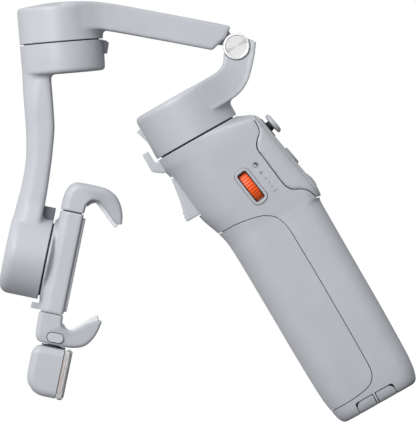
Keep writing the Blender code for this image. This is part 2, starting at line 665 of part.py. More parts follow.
def clamp(frame):
    plate = keep("clamp_mount_plate", cylinder_mesh(18.8, 0.0, 1.0, "X"), "shell", frame)
    join(plate, guide("plate_lobe", box_mesh((0.0, -3.0, -23.3), (1.0, 3.0, -15.0)), frame))
    join(plate, guide("plate_tab", box_mesh((-3.3, -2.2, -23.3), (0.5, 2.2, -20.5)), frame))
    body = keep("clamp_body", clamp_body_mesh(), "shell", frame)
    for side, name in ((-1, "front"), (1, "rear")):
        bore = cylinder_mesh(1.8, -21.5, 40.0, "Z", (6.6, 9.0 * side, 0.0), INNER_STEPS)
        cut(body, guide("rod_bore_" + name, bore, frame))
        rod = cylinder_mesh(1.5, -21.0, 30.5, "Z", (6.6, 9.0 * side, 0.0), INNER_STEPS)
        keep("clamp_rod_" + name, rod, "steel", frame)
    keep("clamp_back_pad", rounded_box_mesh((12.3, -13.0, -22.0), (13.2, 13.0, 22.0), 2.0, "X"), "rubber", frame)


def clamp_body_mesh():
    ring = rounded_ring(1.3, 12.0, CLAMP_HALF_WIDTH, 4.5, 1.0)
    return loft_mesh([[(x, y, z) for x, y in ring] for z in (-CLAMP_HALF_LENGTH, CLAMP_HALF_LENGTH)])


def upper_claw(frame):
    claw = keep("upper_claw", beam_mesh(CLAW_STATIONS, 4.0, 1.0), "shell", frame)
    for side, name in ((-1, "front"), (1, "rear")):
        socket = cylinder_mesh(1.8, 20.0, 31.0, "Z", (6.6, 9.0 * side, 0.0), INNER_STEPS)
        cut(claw, guide("rod_socket_" + name, socket, frame))
    keep("upper_claw_pad", plate_mesh(CLAW_PAD_OUTLINE, -10.0, 10.0), "rubber", frame)


def lower_claw(frame):
    stations = [((a[0], -a[1]), (b[0], -b[1]), half_width) for a, b, half_width in CLAW_STATIONS]
    claw = keep("lower_claw", beam_mesh(stations, 1.4, 1.0), "shell", frame)
    well = rounded_box_mesh((6.75, -20.0, -36.9), (14.85, -13.4, -32.1), 2.3, "Y")
    cut(claw, guide("clamp_button_well", well, frame))
    cut(claw, guide("swivel_bore", cylinder_mesh(3.0, -45.0, -34.6, "Z", (10.6, 0.0, 0.0), INNER_STEPS), frame))
    button = rounded_box_mesh((7.05, -16.5, -36.6), (14.55, -14.7, -32.4), 2.0, "Y")
    keep("clamp_button", button, "shell", frame)
    keep("lower_claw_pad", plate_mesh(mirrored(CLAW_PAD_OUTLINE), -10.0, 10.0), "rubber", frame)


def light_module(frame):
    post = [(0.0, -35.0), (2.7, -35.0), (2.7, -38.3), (5.6, -38.3), (5.6, -38.9), (0.0, -38.9)]
    keep("swivel_post", turned_mesh(post, "Z", (10.6, 0.0, 0.0), INNER_STEPS), "dark", frame)
    wide = LIGHT_HALF_WIDTH
    housing = keep("light_housing", rounded_box_mesh((1.3, -wide, -61.9), (16.3, wide, -39.2), 2.5), "shell",
                   frame)
    cut(housing, guide("light_bay", box_mesh((3.5, -wide + 2, -59.9), (20.0, wide - 2, -41.2)), frame))
    keep("led_board", box_mesh((14.4, -wide + 2.4, -59.5), (15.9, wide - 2.4, -41.6)), "board", frame)
    keep("led_strip", box_mesh((16.9, -wide + 4, -58.5), (17.9, wide - 4, -41.2)), "led", frame)
    diffuser = keep("light_diffuser", rounded_box_mesh((16.6, -wide, -62.2), (19.7, wide, -39.0), 1.2),
                    "diffuser", frame)
    cut(diffuser, guide("diffuser_bay", box_mesh((10.0, -wide + 1.2, -60.8), (18.6, wide - 1.2, -40.4)), frame))


def gimbal():
    pan_frame = frame_at("pan_frame", PAN_CENTRE)
    hinge_frame = frame_at("hinge_frame", HINGE_CENTRE)
    tilt_frame = frame_at("tilt_frame", TILT_CENTRE, (0.0, TILT_LEAN, 0.0))
    roll_frame = frame_at("roll_frame", ROLL_CENTRE, (0.0, ROLL_LEAN, 0.0))
    bpy.context.view_layer.update()
    hinge = hinge_shapes(hinge_frame)
    handle()
    pan_housing(pan_frame, hinge)
    hinge_hardware(hinge_frame)
    motor("pan", pan_frame, 18.9, 16.5, 17.5, -1.0)
    fold_arm(tilt_frame, hinge_frame, hinge)
    motor("tilt", tilt_frame, 17.4, 15.6, 15.5, -3.0)
    roll_arm(tilt_frame, roll_frame)
    roll_motor_frame = frame_at("roll_motor_frame", (-0.7, 0.0, 0.0), (0.0, -90.0, 0.0))
    roll_motor_frame.parent = roll_frame
    motor("roll", roll_motor_frame, 16.9, 15.1, 16.2, -0.4)
    clamp(roll_frame)
    upper_claw(roll_frame)
    lower_claw(roll_frame)
    light_module(roll_frame)


clear_scene()
PARTS = new_collection("folding_gimbal")
CUTTERS = new_collection("cutters")
MATERIALS = {name: new_material(name) for name in COLOURS}
gimbal()
bpy.context.view_layer.update()
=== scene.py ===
"""Detailed pieces of a folding phone gimbal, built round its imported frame.

Lengths are millimetres unless a name says otherwise, and MM turns them into metres.
The handle stands upright on the origin, +X is the thumb side, and the arm folds
towards -X. Each motor group is drawn in its own seat and then placed by that seat.
"""
import math
from contextlib import contextmanager

import bmesh
import bpy
import numpy as np
from bpy.props import FloatProperty, FloatVectorProperty, IntProperty
from mathutils import Euler, Matrix, Vector


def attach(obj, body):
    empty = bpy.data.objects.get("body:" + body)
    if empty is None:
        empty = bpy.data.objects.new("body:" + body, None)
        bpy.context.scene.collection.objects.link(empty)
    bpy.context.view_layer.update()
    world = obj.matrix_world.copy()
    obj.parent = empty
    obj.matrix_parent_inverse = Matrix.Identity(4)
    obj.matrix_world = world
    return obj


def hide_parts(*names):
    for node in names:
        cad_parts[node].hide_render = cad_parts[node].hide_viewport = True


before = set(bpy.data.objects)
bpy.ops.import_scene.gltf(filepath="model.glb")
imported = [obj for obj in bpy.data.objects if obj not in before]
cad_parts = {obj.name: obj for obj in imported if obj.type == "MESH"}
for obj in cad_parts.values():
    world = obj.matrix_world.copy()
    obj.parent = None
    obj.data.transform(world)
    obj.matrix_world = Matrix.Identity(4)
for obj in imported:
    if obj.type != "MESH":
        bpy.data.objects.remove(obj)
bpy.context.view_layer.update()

bl_info = {
    "name": "Folding gimbal details",
    "version": (1, 0, 0),
    "blender": (4, 5, 0),
    "location": "3D View > Sidebar > Gimbal",
    "description": "Builds the detailed casings, controls and finishes of a folding phone gimbal",
    "category": "Object",
}

MM = 0.001

HANDLE_TOP = 147.45
SLEEVE_THICKNESS = 1.4
SHELL_WALL = 3.6
PAN_RADIUS = 21.0
TILT_RADIUS = 19.3
ROLL_RADIUS = 18.8
HOUSING_WALL = 1.6
HINGE_RADIUS = 6.2
ARM_HALF_WIDTH = 10.0
CLAMP_HALF_WIDTH = 16.0
CLAMP_HALF_LENGTH = 23.6
ROD_BORE_RADIUS = 1.8
ROD_X = 6.6
ROD_Y = 9.0
DIAL_AXLE_DEPTH = 8.8
DIAL_ROOM_RADIUS = 10.4
LIGHT_HALF_WIDTH = 21.0

# (height, low x, high x, half width, corner radius at low x, at high x)
HANDLE_STATIONS = [
    (0.0, -17.0, 18.0, 13.0, 9.0, 6.0),
    (0.3, -18.0, 19.0, 13.9, 10.0, 6.5),
    (1.2, -19.0, 20.1, 14.8, 11.0, 7.0),
    (4.0, -20.2, 21.3, 15.8, 12.0, 8.0),
    (8.0, -20.9, 22.1, 16.2, 12.5, 8.0),
    (15.0, -21.9, 22.6, 16.5, 13.0, 8.0),
    (40.0, -22.8, 22.8, 16.8, 13.5, 8.0),
    (70.0, -23.3, 22.5, 17.0, 14.0, 8.0),
    (93.0, -23.9, 22.4, 17.3, 14.5, 8.0),
    (95.6, -24.1, 22.6, 17.4, 15.0, 8.0),
    (96.8, -24.2, 24.0, 17.4, 15.0, 8.0),
    (101.0, -24.9, 24.3, 17.7, 15.5, 7.0),
    (106.0, -26.5, 23.4, 18.1, 16.5, 6.5),
    (113.0, -29.1, 22.1, 18.65, 18.0, 6.5),
    (120.0, -30.5, 20.8, 19.2, 19.0, 6.5),
    (130.0, -31.6, 19.0, 20.0, 19.9, 6.5),
    (138.0, -32.5, 17.5, 20.6, 20.5, 7.0),
    (142.4, -33.5, 16.6, 20.8, 20.7, 8.0),
    (144.8, -33.6, 13.8, 20.9, 20.8, 13.0),
    (147.2, -33.6, 8.6, 21.0, 20.9, 20.9),
    (HANDLE_TOP, -33.35, 8.35, 20.75, 20.7, 20.7),
]

# Edge of the soft grip, from the bottom round its front and back over the top
GRIP_EDGE = [
    (-40.0, 7.7), (-20.7, 7.7), (-10.0, 7.9), (-3.0, 8.8), (0.8, 10.2), (3.0, 12.6), (4.1, 16.0),
    (4.3, 22.0), (4.35, 28.0), (4.3, 38.0), (4.0, 65.0), (3.6, 82.0), (3.3, 90.0), (2.3, 94.5),
    (1.0, 97.5), (-1.0, 99.5),
    (-4.0, 101.3), (-8.0, 102.5), (-13.0, 103.5), (-18.0, 104.1), (-40.0, 103.9),
]

# Edge of the control pod where it seats in the handle
POD_SEAM = [
    (14.2, 142.7), (14.1, 138.0), (13.2, 135.5), (11.5, 134.0), (9.8, 132.0), (8.9, 130.0),
    (8.8, 128.0), (9.3, 125.0), (11.2, 110.5), (12.2, 107.5), (14.0, 105.2), (17.0, 103.8),
    (19.5, 101.8), (21.0, 99.0), (21.8, 96.7), (23.4, 96.2),
]

# Each beam station is (first edge, second edge, half width, corner radius on the first edge)
NECK_CURVE = [
    ((-6.0, 169.2), (-6.0, 155.4), 19.5, 1.1),
    ((0.0, 169.3), (0.0, 155.4), 17.2, 1.1),
    ((4.0, 169.4), (4.4, 155.4), 15.2, 1.1),
    ((8.0, 169.5), (9.0, 155.6), 13.2, 1.1),
    ((11.0, 169.9), (12.8, 156.0), 11.9, 1.1),
    ((12.9, 170.5), (15.8, 156.9), 11.1, 1.1),
    ((14.5, 171.7), (19.3, 158.8), 10.3, 1.1),
    ((15.9, 173.5), (22.7, 161.4), 9.7, 1.1),
    ((16.8, 175.3), (26.0, 165.0), 9.5, 1.1),
]
NECK_LIP = [
    ((30.4, 175.5), (30.4, 170.0), 9.5, 0.6),
    ((30.9, 175.5), (32.3, 172.9), 9.5, 0.5),
]
# Raised strip along the neck's outer edge, from the drum up to the lip
NECK_STRIP = [
    ((0.0, 156.6), (0.0, 155.0), 17.5, 0.3),
    ((4.0, 156.7), (4.0, 155.1), 15.6, 0.3),
    ((8.0, 156.9), (8.2, 155.3), 13.8, 0.3),
    ((11.5, 157.2), (11.9, 155.6), 12.5, 0.3),
    ((15.1, 158.0), (15.8, 156.5), 11.5, 0.3),
    ((17.9, 159.4), (18.8, 158.0), 10.8, 0.3),
    ((20.7, 161.2), (21.8, 160.0), 10.3, 0.3),
    ((22.7, 163.1), (23.8, 162.0), ARM_HALF_WIDTH, 0.3),
    ((27.6, 168.5), (28.8, 167.5), ARM_HALF_WIDTH, 0.3),
    ((31.4, 173.9), (32.6, 172.7), ARM_HALF_WIDTH, 0.3),
]

# Fold arm in the tilt seat, from its drum to the hinge
ARM_EDGES = [
    ((2.0, 18.4), (2.0, 4.8), 18.2, 0.9),
    ((8.0, 18.2), (8.0, 4.8), 17.2, 0.9),
    ((12.0, 17.9), (12.4, 4.8), 15.6, 0.9),
    ((16.0, 17.5), (16.6, 4.5), 13.8, 0.9),
    ((20.0, 16.8), (20.0, 4.0), 12.5, 0.9),
    ((26.0, 15.5), (26.0, 2.5), 11.4, 0.9),
    ((32.0, 13.9), (31.6, 1.0), 10.8, 0.9),
    ((40.0, 11.7), (39.0, -1.0), 10.3, 0.9),
    ((50.0, 9.0), (48.0, -3.4), ARM_HALF_WIDTH, 0.9),
    ((72.0, 2.9), (69.0, -9.2), ARM_HALF_WIDTH, 0.9),
    ((78.4, 0.9), (75.5, -4.2), ARM_HALF_WIDTH, 0.9),
]

# Roll arm in the tilt seat, outer edge first
ROLL_ARM_CURVE = [
    ((-19.1, -0.4), (-6.4, -0.4), 11.6, 11.0),
    ((-19.2, -10.0), (-6.3, -10.0), 11.8, 10.5),
    ((-19.4, -18.0), (-6.2, -18.0), 12.0, 8.5),
    ((-19.5, -26.0), (-6.2, -26.0), 11.9, 6.4),
    ((-19.5, -36.0), (-6.3, -36.0), 11.5, 5.6),
    ((-20.4, -50.0), (-8.3, -50.0), 11.0, 5.6),
    ((-23.0, -62.0), (-10.6, -61.0), 10.8, 5.6),
    ((-26.4, -72.0), (-13.0, -71.0), 11.0, 6.0),
    ((-30.0, -83.0), (-15.6, -80.5), 12.0, 6.5),
    ((-32.0, -91.0), (-18.0, -90.0), 12.5, 6.5),
]

# Claws in the roll seat, from the seam round to the tip, outer edge first
UPPER_CLAW_CURVE = [
    ((1.2, 24.0), (12.0, 24.0), 16.0, 3.6),
    ((1.4, 30.0), (12.2, 27.6), 16.0, 3.6),
    ((2.6, 34.6), (12.9, 29.2), 16.0, 3.6),
    ((6.5, 37.7), (14.0, 30.4), 16.0, 3.6),
    ((13.0, 37.9), (15.4, 31.1), 15.4, 3.2),
    ((19.0, 37.6), (17.6, 31.0), 14.4, 2.6),
    ((24.6, 35.3), (19.8, 29.4), 13.4, 2.2),
    ((28.0, 31.0), (23.6, 25.9), 12.4, 1.8),
    ((29.8, 26.0), (26.6, 23.3), 11.8, 1.3),
    ((30.2, 22.6), (28.3, 22.4), 11.5, 0.8),
]
LOWER_CLAW_CURVE = [
    ((1.0, -24.0), (12.0, -24.0), 16.0, 1.8),
    ((1.2, -30.0), (12.2, -27.2), 16.0, 1.8),
    ((1.6, -35.0), (12.6, -28.6), 16.0, 1.8),
    ((4.2, -37.7), (13.8, -29.6), 15.6, 1.8),
    ((12.0, -38.0), (15.6, -30.2), 15.0, 1.8),
    ((19.0, -37.6), (17.6, -29.8), 14.2, 1.8),
    ((24.4, -35.8), (20.4, -27.8), 13.4, 1.6),
    ((27.6, -32.0), (24.0, -25.0), 12.6, 1.4),
    ((29.2, -28.0), (26.6, -23.4), 12.0, 1.2),
    ((30.2, -23.0), (28.2, -22.6), 11.5, 0.8),
]
# Free side of a claw's pad, then the side sunk in the claw
CLAW_PAD_OUTLINE = [
    (13.0, 27.6), (14.2, 29.0), (15.9, 30.0), (17.2, 29.6), (26.4, 21.2), (27.6, 20.6),
    (28.6, 22.6), (27.0, 24.5), (19.5, 31.5), (15.5, 32.2), (12.4, 30.0), (12.0, 28.0),
]


def seat_at(centre, turn=(0.0, 0.0, 0.0)):
    angles = [math.radians(angle) for angle in turn]
    return Matrix.Translation(Vector(centre) * MM) @ Euler(angles).to_matrix().to_4x4()


PAN_SEAT = seat_at((-12.6, 0.0, 148.5))
HINGE_SEAT = seat_at((23.8, 0.0, 175.5))
TILT_SEAT = seat_at((-45.5, 0.0, 216.9), (0.0, 24.8, 0.0))
ROLL_SEAT = seat_at((-100.3, 0.0, 132.8), (0.0, 41.1, 0.0))
POD_SEAT = seat_at((24.3, 0.0, 101.0), (0.0, -10.4, 0.0))
DIAL_SEAT = seat_at((-2.2, -18.95, 116.0), (4.6, -8.6, 0.0))


# ---------------------------------------------------------------- editing helpers

def only(*pieces):
    """Select these objects and nothing else. The first one is active."""
    bpy.ops.object.select_all(action="DESELECT")
    for piece in pieces:
        piece.select_set(True)
    bpy.context.view_layer.objects.active = pieces[0]


@contextmanager
def editing(piece, mode="VERT"):
    """Edit mode on one object, with everything selected."""
    only(piece)
    bpy.ops.object.mode_set(mode="EDIT")
    bpy.ops.mesh.select_mode(type=mode)
    bpy.ops.mesh.select_all(action="SELECT")
    yield piece
    bpy.ops.object.mode_set(mode="OBJECT")


def pick_faces(piece, test):
    """In edit mode, select the faces that pass a test on their centre and normal, in millimetres."""
    bpy.ops.mesh.select_mode(type="FACE")
    bpy.ops.mesh.select_all(action="DESELECT")
    shape = bmesh.from_edit_mesh(piece.data)
    for face in shape.faces:
        face.select_set(test(face.calc_center_median() / MM, face.normal))
    bmesh.update_edit_mesh(piece.data)


def pick_edges(piece, test):
    """In edit mode, select the edges that pass a test on their two ends, in millimetres."""
    bpy.ops.mesh.select_mode(type="EDGE")
    bpy.ops.mesh.select_all(action="DESELECT")
    shape = bmesh.from_edit_mesh(piece.data)
    for edge in shape.edges:
        edge.select_set(test(edge.verts[0].co / MM, edge.verts[1].co / MM))
    bmesh.update_edit_mesh(piece.data)


def named(name):
    piece = bpy.context.object
    piece.name = name
    piece.data.name = name
    return piece


def tidy_surface(piece):
    """Merge doubles, close open ends and turn every face outwards."""
    with editing(piece):
        bpy.ops.mesh.remove_doubles(threshold=0.005 * MM)
        bpy.ops.mesh.select_all(action="SELECT")
        bpy.ops.mesh.fill_holes(sides=0)
        bpy.ops.mesh.select_all(action="SELECT")
        bpy.ops.mesh.normals_make_consistent(inside=False)
    return piece


def apply_all(piece):
    only(piece)
    for modifier in list(piece.modifiers):
        bpy.ops.object.modifier_apply(modifier=modifier.name)
    return piece


def copy_of(piece, name):
    """A second object with its own mesh."""
    only(piece)
    bpy.ops.object.duplicate(linked=False)
    return named(name)


def moved(piece, matrix):
    """The piece put where a matrix says, with its place in its mesh."""
    piece.data.transform(matrix)
    piece.data.update()
    return piece


def turned_to(piece, axis, centre=(0.0, 0.0, 0.0)):
    """Lay a piece that was made along Z along another axis, at a centre."""
    turns = {"Z": (0.0, 0.0, 0.0), "Y": (-90.0, 0.0, 0.0), "X": (0.0, 90.0, 0.0)}
    return moved(piece, seat_at(centre, turns[axis]))


# ---------------------------------------------------------------- shapes

def rounded_box(name, low, high, radius, along=None, steps=4):
    """A box with round edges: all of them, or only those along one axis."""
    low = Vector(low)
    high = Vector(high)
    bpy.ops.mesh.primitive_cube_add(size=1.0, location=(low + high) / 2 * MM, scale=(high - low) * MM)
    piece = named(name)
    only(piece)
    bpy.ops.object.transform_apply(location=True, rotation=True, scale=True)
    if radius:
        with editing(piece, "EDGE"):
            if along is not None:
                across = [i for i in range(3) if i != "XYZ".index(along)]
                pick_edges(piece, lambda a, b: all(abs(a[i] - b[i]) < 1e-3 for i in across))
            bpy.ops.mesh.bevel(offset=radius * MM, segments=steps, profile=0.5, affect="EDGES")
    return piece


def turned(name, profile, sides=96, closed=False):
    """A turned piece about Z: a circle drawn out through each (radius, height) of its profile."""
    rings = [point for point in profile if point[0] > 0.0]
    if closed:
        rings = rings + rings[:1]
    radius, height = rings[0]
    bpy.ops.mesh.primitive_circle_add(vertices=sides, radius=radius * MM)
    piece = named(name)
    with editing(piece):
        bpy.ops.transform.translate(value=(0.0, 0.0, height * MM))
        for (last_radius, last_height), (radius, height) in zip(rings, rings[1:]):
            bpy.ops.mesh.extrude_region_move(
                TRANSFORM_OT_translate={"value": (0.0, 0.0, (height - last_height) * MM)})
            share = radius / last_radius
            bpy.ops.transform.resize(value=(share, share, 1.0), center_override=(0.0, 0.0, height * MM))
    return tidy_surface(piece)


def round_bar(name, radius, low, high, axis="Z", centre=(0.0, 0.0, 0.0), sides=64):
    return turned_to(turned(name, [(radius, high), (radius, low)], sides), axis, centre)


def arc(centre, radius, start, end, steps=6):
    """Points of an arc, with its angles in degrees."""
    angles = [math.radians(start + (end - start) * step / steps) for step in range(steps + 1)]
    return [(centre[0] + radius * math.cos(a), centre[1] + radius * math.sin(a)) for a in angles]


def lofted(name, rings):
    """A grid rolled up so that each of its rows is one ring, with both ends closed."""
    around = len(rings[0])
    bpy.ops.mesh.primitive_grid_add(x_subdivisions=around, y_subdivisions=len(rings) - 1)
    piece = named(name)
    places = np.array([[tuple(point) for point in ring + ring[:1]] for ring in rings]) * MM
    piece.data.vertices.foreach_set("co", places.ravel())
    piece.data.update()
    return tidy_surface(piece)


def smooth_rows(rows, places):
    """Rows of values read at more places, on smooth curves that never overshoot the given rows."""
    table = np.array(rows, float)
    at, values = table[:, 0], table[:, 1:]
    span = np.diff(at)[:, None]
    rise = np.diff(values, axis=0) / span
    slope = np.zeros_like(values)
    product = rise[:-1] * rise[1:]
    slope[1:-1] = np.where(product > 0, 2 * product / (rise[:-1] + rise[1:] + 1e-12), 0.0)
    slope[0] = rise[0]
    slope[-1] = rise[-1]
    places = np.array(places, float)
    i = np.clip(np.searchsorted(at, places, side="right") - 1, 0, len(at) - 2)
    s = ((places - at[i]) / (at[i + 1] - at[i]))[:, None]
    h = span[i]
    rising = 3 * s ** 2 - 2 * s ** 3
    return ((1 - rising) * values[i] + (s ** 3 - 2 * s ** 2 + s) * h * slope[i]
            + rising * values[i + 1] + (s ** 3 - s ** 2) * h * slope[i + 1])


def finer(stations, steps=6):
    """More stations along a beam, on smooth curves through the drawn ones."""
    rows = []
    reach = 0.0
    last = None
    for first, second, half_width, radius in stations:
        middle = (Vector(first) + Vector(second)) / 2
        reach += (middle - last).length if last else 0.0
        last = middle
        rows.append((reach, *first, *second, half_width, radius))
    marks = [row[0] for row in rows]
    places = [a + (b - a) * k / steps for a, b in zip(marks, marks[1:]) for k in range(steps)] + marks[-1:]
    return [((r[0], r[1]), (r[2], r[3]), r[4], r[5]) for r in smooth_rows(rows, places)]


def rounded_ring(low, high, half_width, low_radius, high_radius, steps=6):
    """Points of a rounded rectangle from low to high and across its half width."""
    half = half_width
    return (arc((high - high_radius, half - high_radius), high_radius, 0, 90, steps)
            + arc((low + low_radius, half - low_radius), low_radius, 90, 180, steps)
            + arc((low + low_radius, low_radius - half), low_radius, 180, 270, steps)
            + arc((high - high_radius, high_radius - half), high_radius, 270, 360, steps))


def beam(name, stations, second_radius):
    """A beam between two drawn edges, with a rounded section at each station."""
    rings = []
    for first, second, half_width, first_radius in stations:
        start = Vector((first[0], 0.0, first[1]))
        across = Vector((second[0], 0.0, second[1])) - start
        depth = across.length
        last = min(second_radius, depth / 2 - 0.1)
        ring = rounded_ring(0.0, depth, half_width, min(first_radius, depth - last - 0.1), last)
        rings.append([start + across / depth * s + Vector((0.0, y, 0.0)) for s, y in ring])
    return lofted(name, rings)


def plate(name, outline, low_y, high_y, rounding=0.0):
    """A flat outline in X and Z with thickness along Y, its edges rounded."""
    curve = bpy.data.curves.new(name, "CURVE")
    curve.dimensions = "2D"
    curve.fill_mode = "BOTH"
    curve.extrude = ((high_y - low_y) / 2 - rounding) * MM
    curve.bevel_depth = rounding * MM
    curve.bevel_resolution = 3
    curve.offset = -rounding * MM
    spline = curve.splines.new("POLY")
    spline.points.add(len(outline) - 1)
    for point, (x, z) in zip(spline.points, outline):
        point.co = (x * MM, z * MM, 0.0, 1.0)
    spline.use_cyclic_u = True
    piece = bpy.data.objects.new(name, curve)
    bpy.context.scene.collection.objects.link(piece)
    only(piece)
    bpy.ops.object.convert(target="MESH")
    piece = named(name)
    moved(piece, seat_at((0.0, (low_y + high_y) / 2, 0.0), (90.0, 0.0, 0.0)))
    return tidy_surface(piece)


def smooth_line(points, steps=8):
    """A smooth line through points, drawn with a Catmull-Rom curve."""
    line = []
    ends = [points[0]] + points + [points[-1]]
    for a, b, c, d in zip(ends, ends[1:], ends[2:], ends[3:]):
        for k in range(steps):
            t = k / steps
            line.append(tuple(
                0.5 * (2 * b[i] + (c[i] - a[i]) * t + (2 * a[i] - 5 * b[i] + 4 * c[i] - d[i]) * t ** 2
                       + (3 * b[i] - a[i] - 3 * c[i] + d[i]) * t ** 3) for i in (0, 1)))
    return line + [points[-1]]


def grow_outline(outline, distance):
    """The outline moved outwards, for a seat with clearance round a piece."""
    area = sum(a[0] * b[1] - b[0] * a[1] for a, b in zip(outline, outline[1:] + outline[:1]))
    side = math.copysign(1.0, area)
    grown = []
    for before, here, after in zip(outline[-1:] + outline[:-1], outline, outline[1:] + outline[:1]):
        first = (Vector(here) - Vector(before)).normalized()
        second = (Vector(after) - Vector(here)).normalized()
        first_normal = Vector((first.y, -first.x)) * side
        second_normal = Vector((second.y, -second.x)) * side
        middle = (first_normal + second_normal).normalized()
        stretch = distance / max(0.5, middle.dot(first_normal))
        grown.append((here[0] + middle.x * stretch, here[1] + middle.y * stretch))
    return grown


def mirrored(outline):
    return [(x, -z) for x, z in reversed(outline)]


# ---------------------------------------------------------------- joining, cutting and softening

def combine(piece, operation, *tools):
    """Join or cut a piece with others, which are used up."""
    for tool in tools:
        modifier = piece.modifiers.new("combine", "BOOLEAN")
        modifier.operation = operation
        modifier.solver = "MANIFOLD"
        modifier.object = tool
    apply_all(piece)
    for tool in tools:
        bpy.data.objects.remove(tool, do_unlink=True)
    return piece


def cut(piece, *tools):
    return combine(piece, "DIFFERENCE", *tools)


def keep_inside(piece, *tools):
    return combine(piece, "INTERSECT", *tools)


def gathered(name, *pieces):
    """Several closed shapes in one object, ready for a remesh to make them one skin."""
    only(*pieces)
    bpy.ops.object.join()
    return named(name)


def remesh(piece, voxel):
    modifier = piece.modifiers.new("remesh", "REMESH")
    modifier.mode = "VOXEL"
    modifier.voxel_size = voxel * MM
    modifier.adaptivity = 0.0
    return apply_all(piece)


def smooth(piece, passes):
    modifier = piece.modifiers.new("smooth", "SMOOTH")
    modifier.factor = 0.5
    modifier.iterations = passes
    return apply_all(piece)


def soften(piece, voxel=0.5, passes=6):
    """Moulded look: one skin whose edges are all slightly round."""
    return smooth(remesh(piece, voxel), passes)


def fill_inner_corners(piece, voxel=0.6, passes=40):
    """Blend the inner corners: a heavily smoothed copy stands out of them and nowhere else."""
    remesh(piece, voxel)
    blend = smooth(copy_of(piece, piece.name + "_blend"), passes)
    return gathered(piece.name, piece, blend)


def finish_piece(piece, body, material, nodes=(), seat=None, angle=34.0):
    """Shade a finished piece, give it its material, and hang it on its body."""
    if seat is not None:
        moved(piece, seat)
    only(piece)
    bpy.ops.object.shade_smooth_by_angle(angle=math.radians(angle))
    piece.data.materials.clear()
    piece.data.materials.append(material)
    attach(piece, body)
    if nodes:
        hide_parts(*nodes)
    return piece


# ---------------------------------------------------------------- sizes and colours

def length(name, text, default, low=0.0, high=1.0):
    return FloatProperty(name=name, description=text, default=default, min=low, max=high, unit="LENGTH",
                         precision=5)


def colour(name, text, default):
    return FloatVectorProperty(name=name, description=text, default=default, size=3, subtype="COLOR",
                               min=0.0, max=1.0)


class GimbalSizes(bpy.types.PropertyGroup):
    """Sizes that change how the casings are finished."""
    seam_gap: length("Seam gap", "Width of the line between two mouldings", 0.0004, 0.0001, 0.001)
    rim_chamfer: length("Rim chamfer", "Chamfer on the rims of the motor casings", 0.00025, 0.0, 0.002)
    inner_fillet: IntProperty(name="Inner fillet", description="Smoothing passes that blend inner corners",
                              default=44, min=4, max=120)
    dial_ribs: IntProperty(name="Dial ribs", description="Ribs round the dial wheel", default=40, min=12,
                           max=90)
    light_ribs: IntProperty(name="Light ribs", description="Cooling ribs on the back of the light",
                            default=6, min=2, max=20)


class GimbalColours(bpy.types.PropertyGroup):
    """Base colours of the finishes."""
    shell: colour("Shell", "Satin moulded casings", (0.490, 0.508, 0.542))
    grip: colour("Grip", "Soft grip sleeve", (0.478, 0.495, 0.528))
    dark: colour("Dark parts", "Motor seats and joystick surround", (0.018, 0.020, 0.024))
    stop: colour("Stops", "Stop tabs and tripod legs", (0.150, 0.160, 0.185))
    dial: colour("Dial", "Ribbed dial wheel", (0.95, 0.115, 0.008))
    pad: colour("Pads", "Clamp pads", (0.740, 0.760, 0.790))
    print_ink: colour("Print", "Printed marks by the dial", (0.085, 0.092, 0.105))
    strip: colour("Light strip", "Phosphor of the light strip", (0.96, 0.50, 0.27))


class StudioLight(bpy.types.PropertyGroup):
    """Strength of the studio's softboxes."""
    key: FloatProperty(name="Key", description="Large softbox at upper left, in watts", default=5.9, min=0.0,
                       max=100.0)
    fill: FloatProperty(name="Fill", description="Softbox at right, in watts", default=0.35, min=0.0,
                        max=100.0)
    room: FloatProperty(name="Room", description="Brightness of the room all round", default=0.71, min=0.0,
                        max=2.0)


def sizes():
    return bpy.context.scene.gimbal_sizes


def colours():
    return bpy.context.scene.gimbal_colours


# ---------------------------------------------------------------- materials

def node_group(name, inputs, outputs):
    """An empty shader node group with named sockets, and its two end nodes."""
    group = bpy.data.node_groups.new(name, "ShaderNodeTree")
    for socket, kind, default in inputs:
        made = group.interface.new_socket(socket, in_out="INPUT", socket_type=kind)
        made.default_value = default
    for socket, kind in outputs:
        group.interface.new_socket(socket, in_out="OUTPUT", socket_type=kind)
    return group, group.nodes.new("NodeGroupInput"), group.nodes.new("NodeGroupOutput")


def add_node(tree, kind, **values):
    """A node with its properties, and its unlinked inputs by socket name."""
    node = tree.nodes.new(kind)
    for key, value in values.items():
        if key in node.inputs:
            node.inputs[key].default_value = value
        else:
            setattr(node, key, value)
    return node


def noise(tree, vector, scale, detail=2.0):
    node = add_node(tree, "ShaderNodeTexNoise", Scale=scale, Detail=detail)
    tree.links.new(vector, node.inputs["Vector"])
    return node.outputs["Fac"]


def ramp(tree, value, low, high, to_low, to_high):
    node = add_node(tree, "ShaderNodeMapRange")
    for socket, number in zip(("From Min", "From Max", "To Min", "To Max"), (low, high, to_low, to_high)):
        node.inputs[socket].default_value = number
    tree.links.new(value, node.inputs["Value"])
    return node.outputs["Result"]


def maths(tree, operation, first, second):
    node = add_node(tree, "ShaderNodeMath", operation=operation)
    for socket, value in zip(node.inputs, (first, second)):
        if isinstance(value, (int, float)):
            socket.default_value = value
        else:
            tree.links.new(value, socket)
    return node.outputs["Value"]


def mixed(tree, share, first, second, blend="MIX"):
    """Two colours mixed by a value. Each may be a socket or plain numbers."""
    node = add_node(tree, "ShaderNodeMix", data_type="RGBA", blend_type=blend)
    for socket, value in ((node.inputs[0], share), (node.inputs[6], first), (node.inputs[7], second)):
        if isinstance(value, (int, float)):
            socket.default_value = value
        elif isinstance(value, (tuple, list)):
            socket.default_value = (*value[:3], 1.0)
        else:
            tree.links.new(value, socket)
    return node.outputs[2]


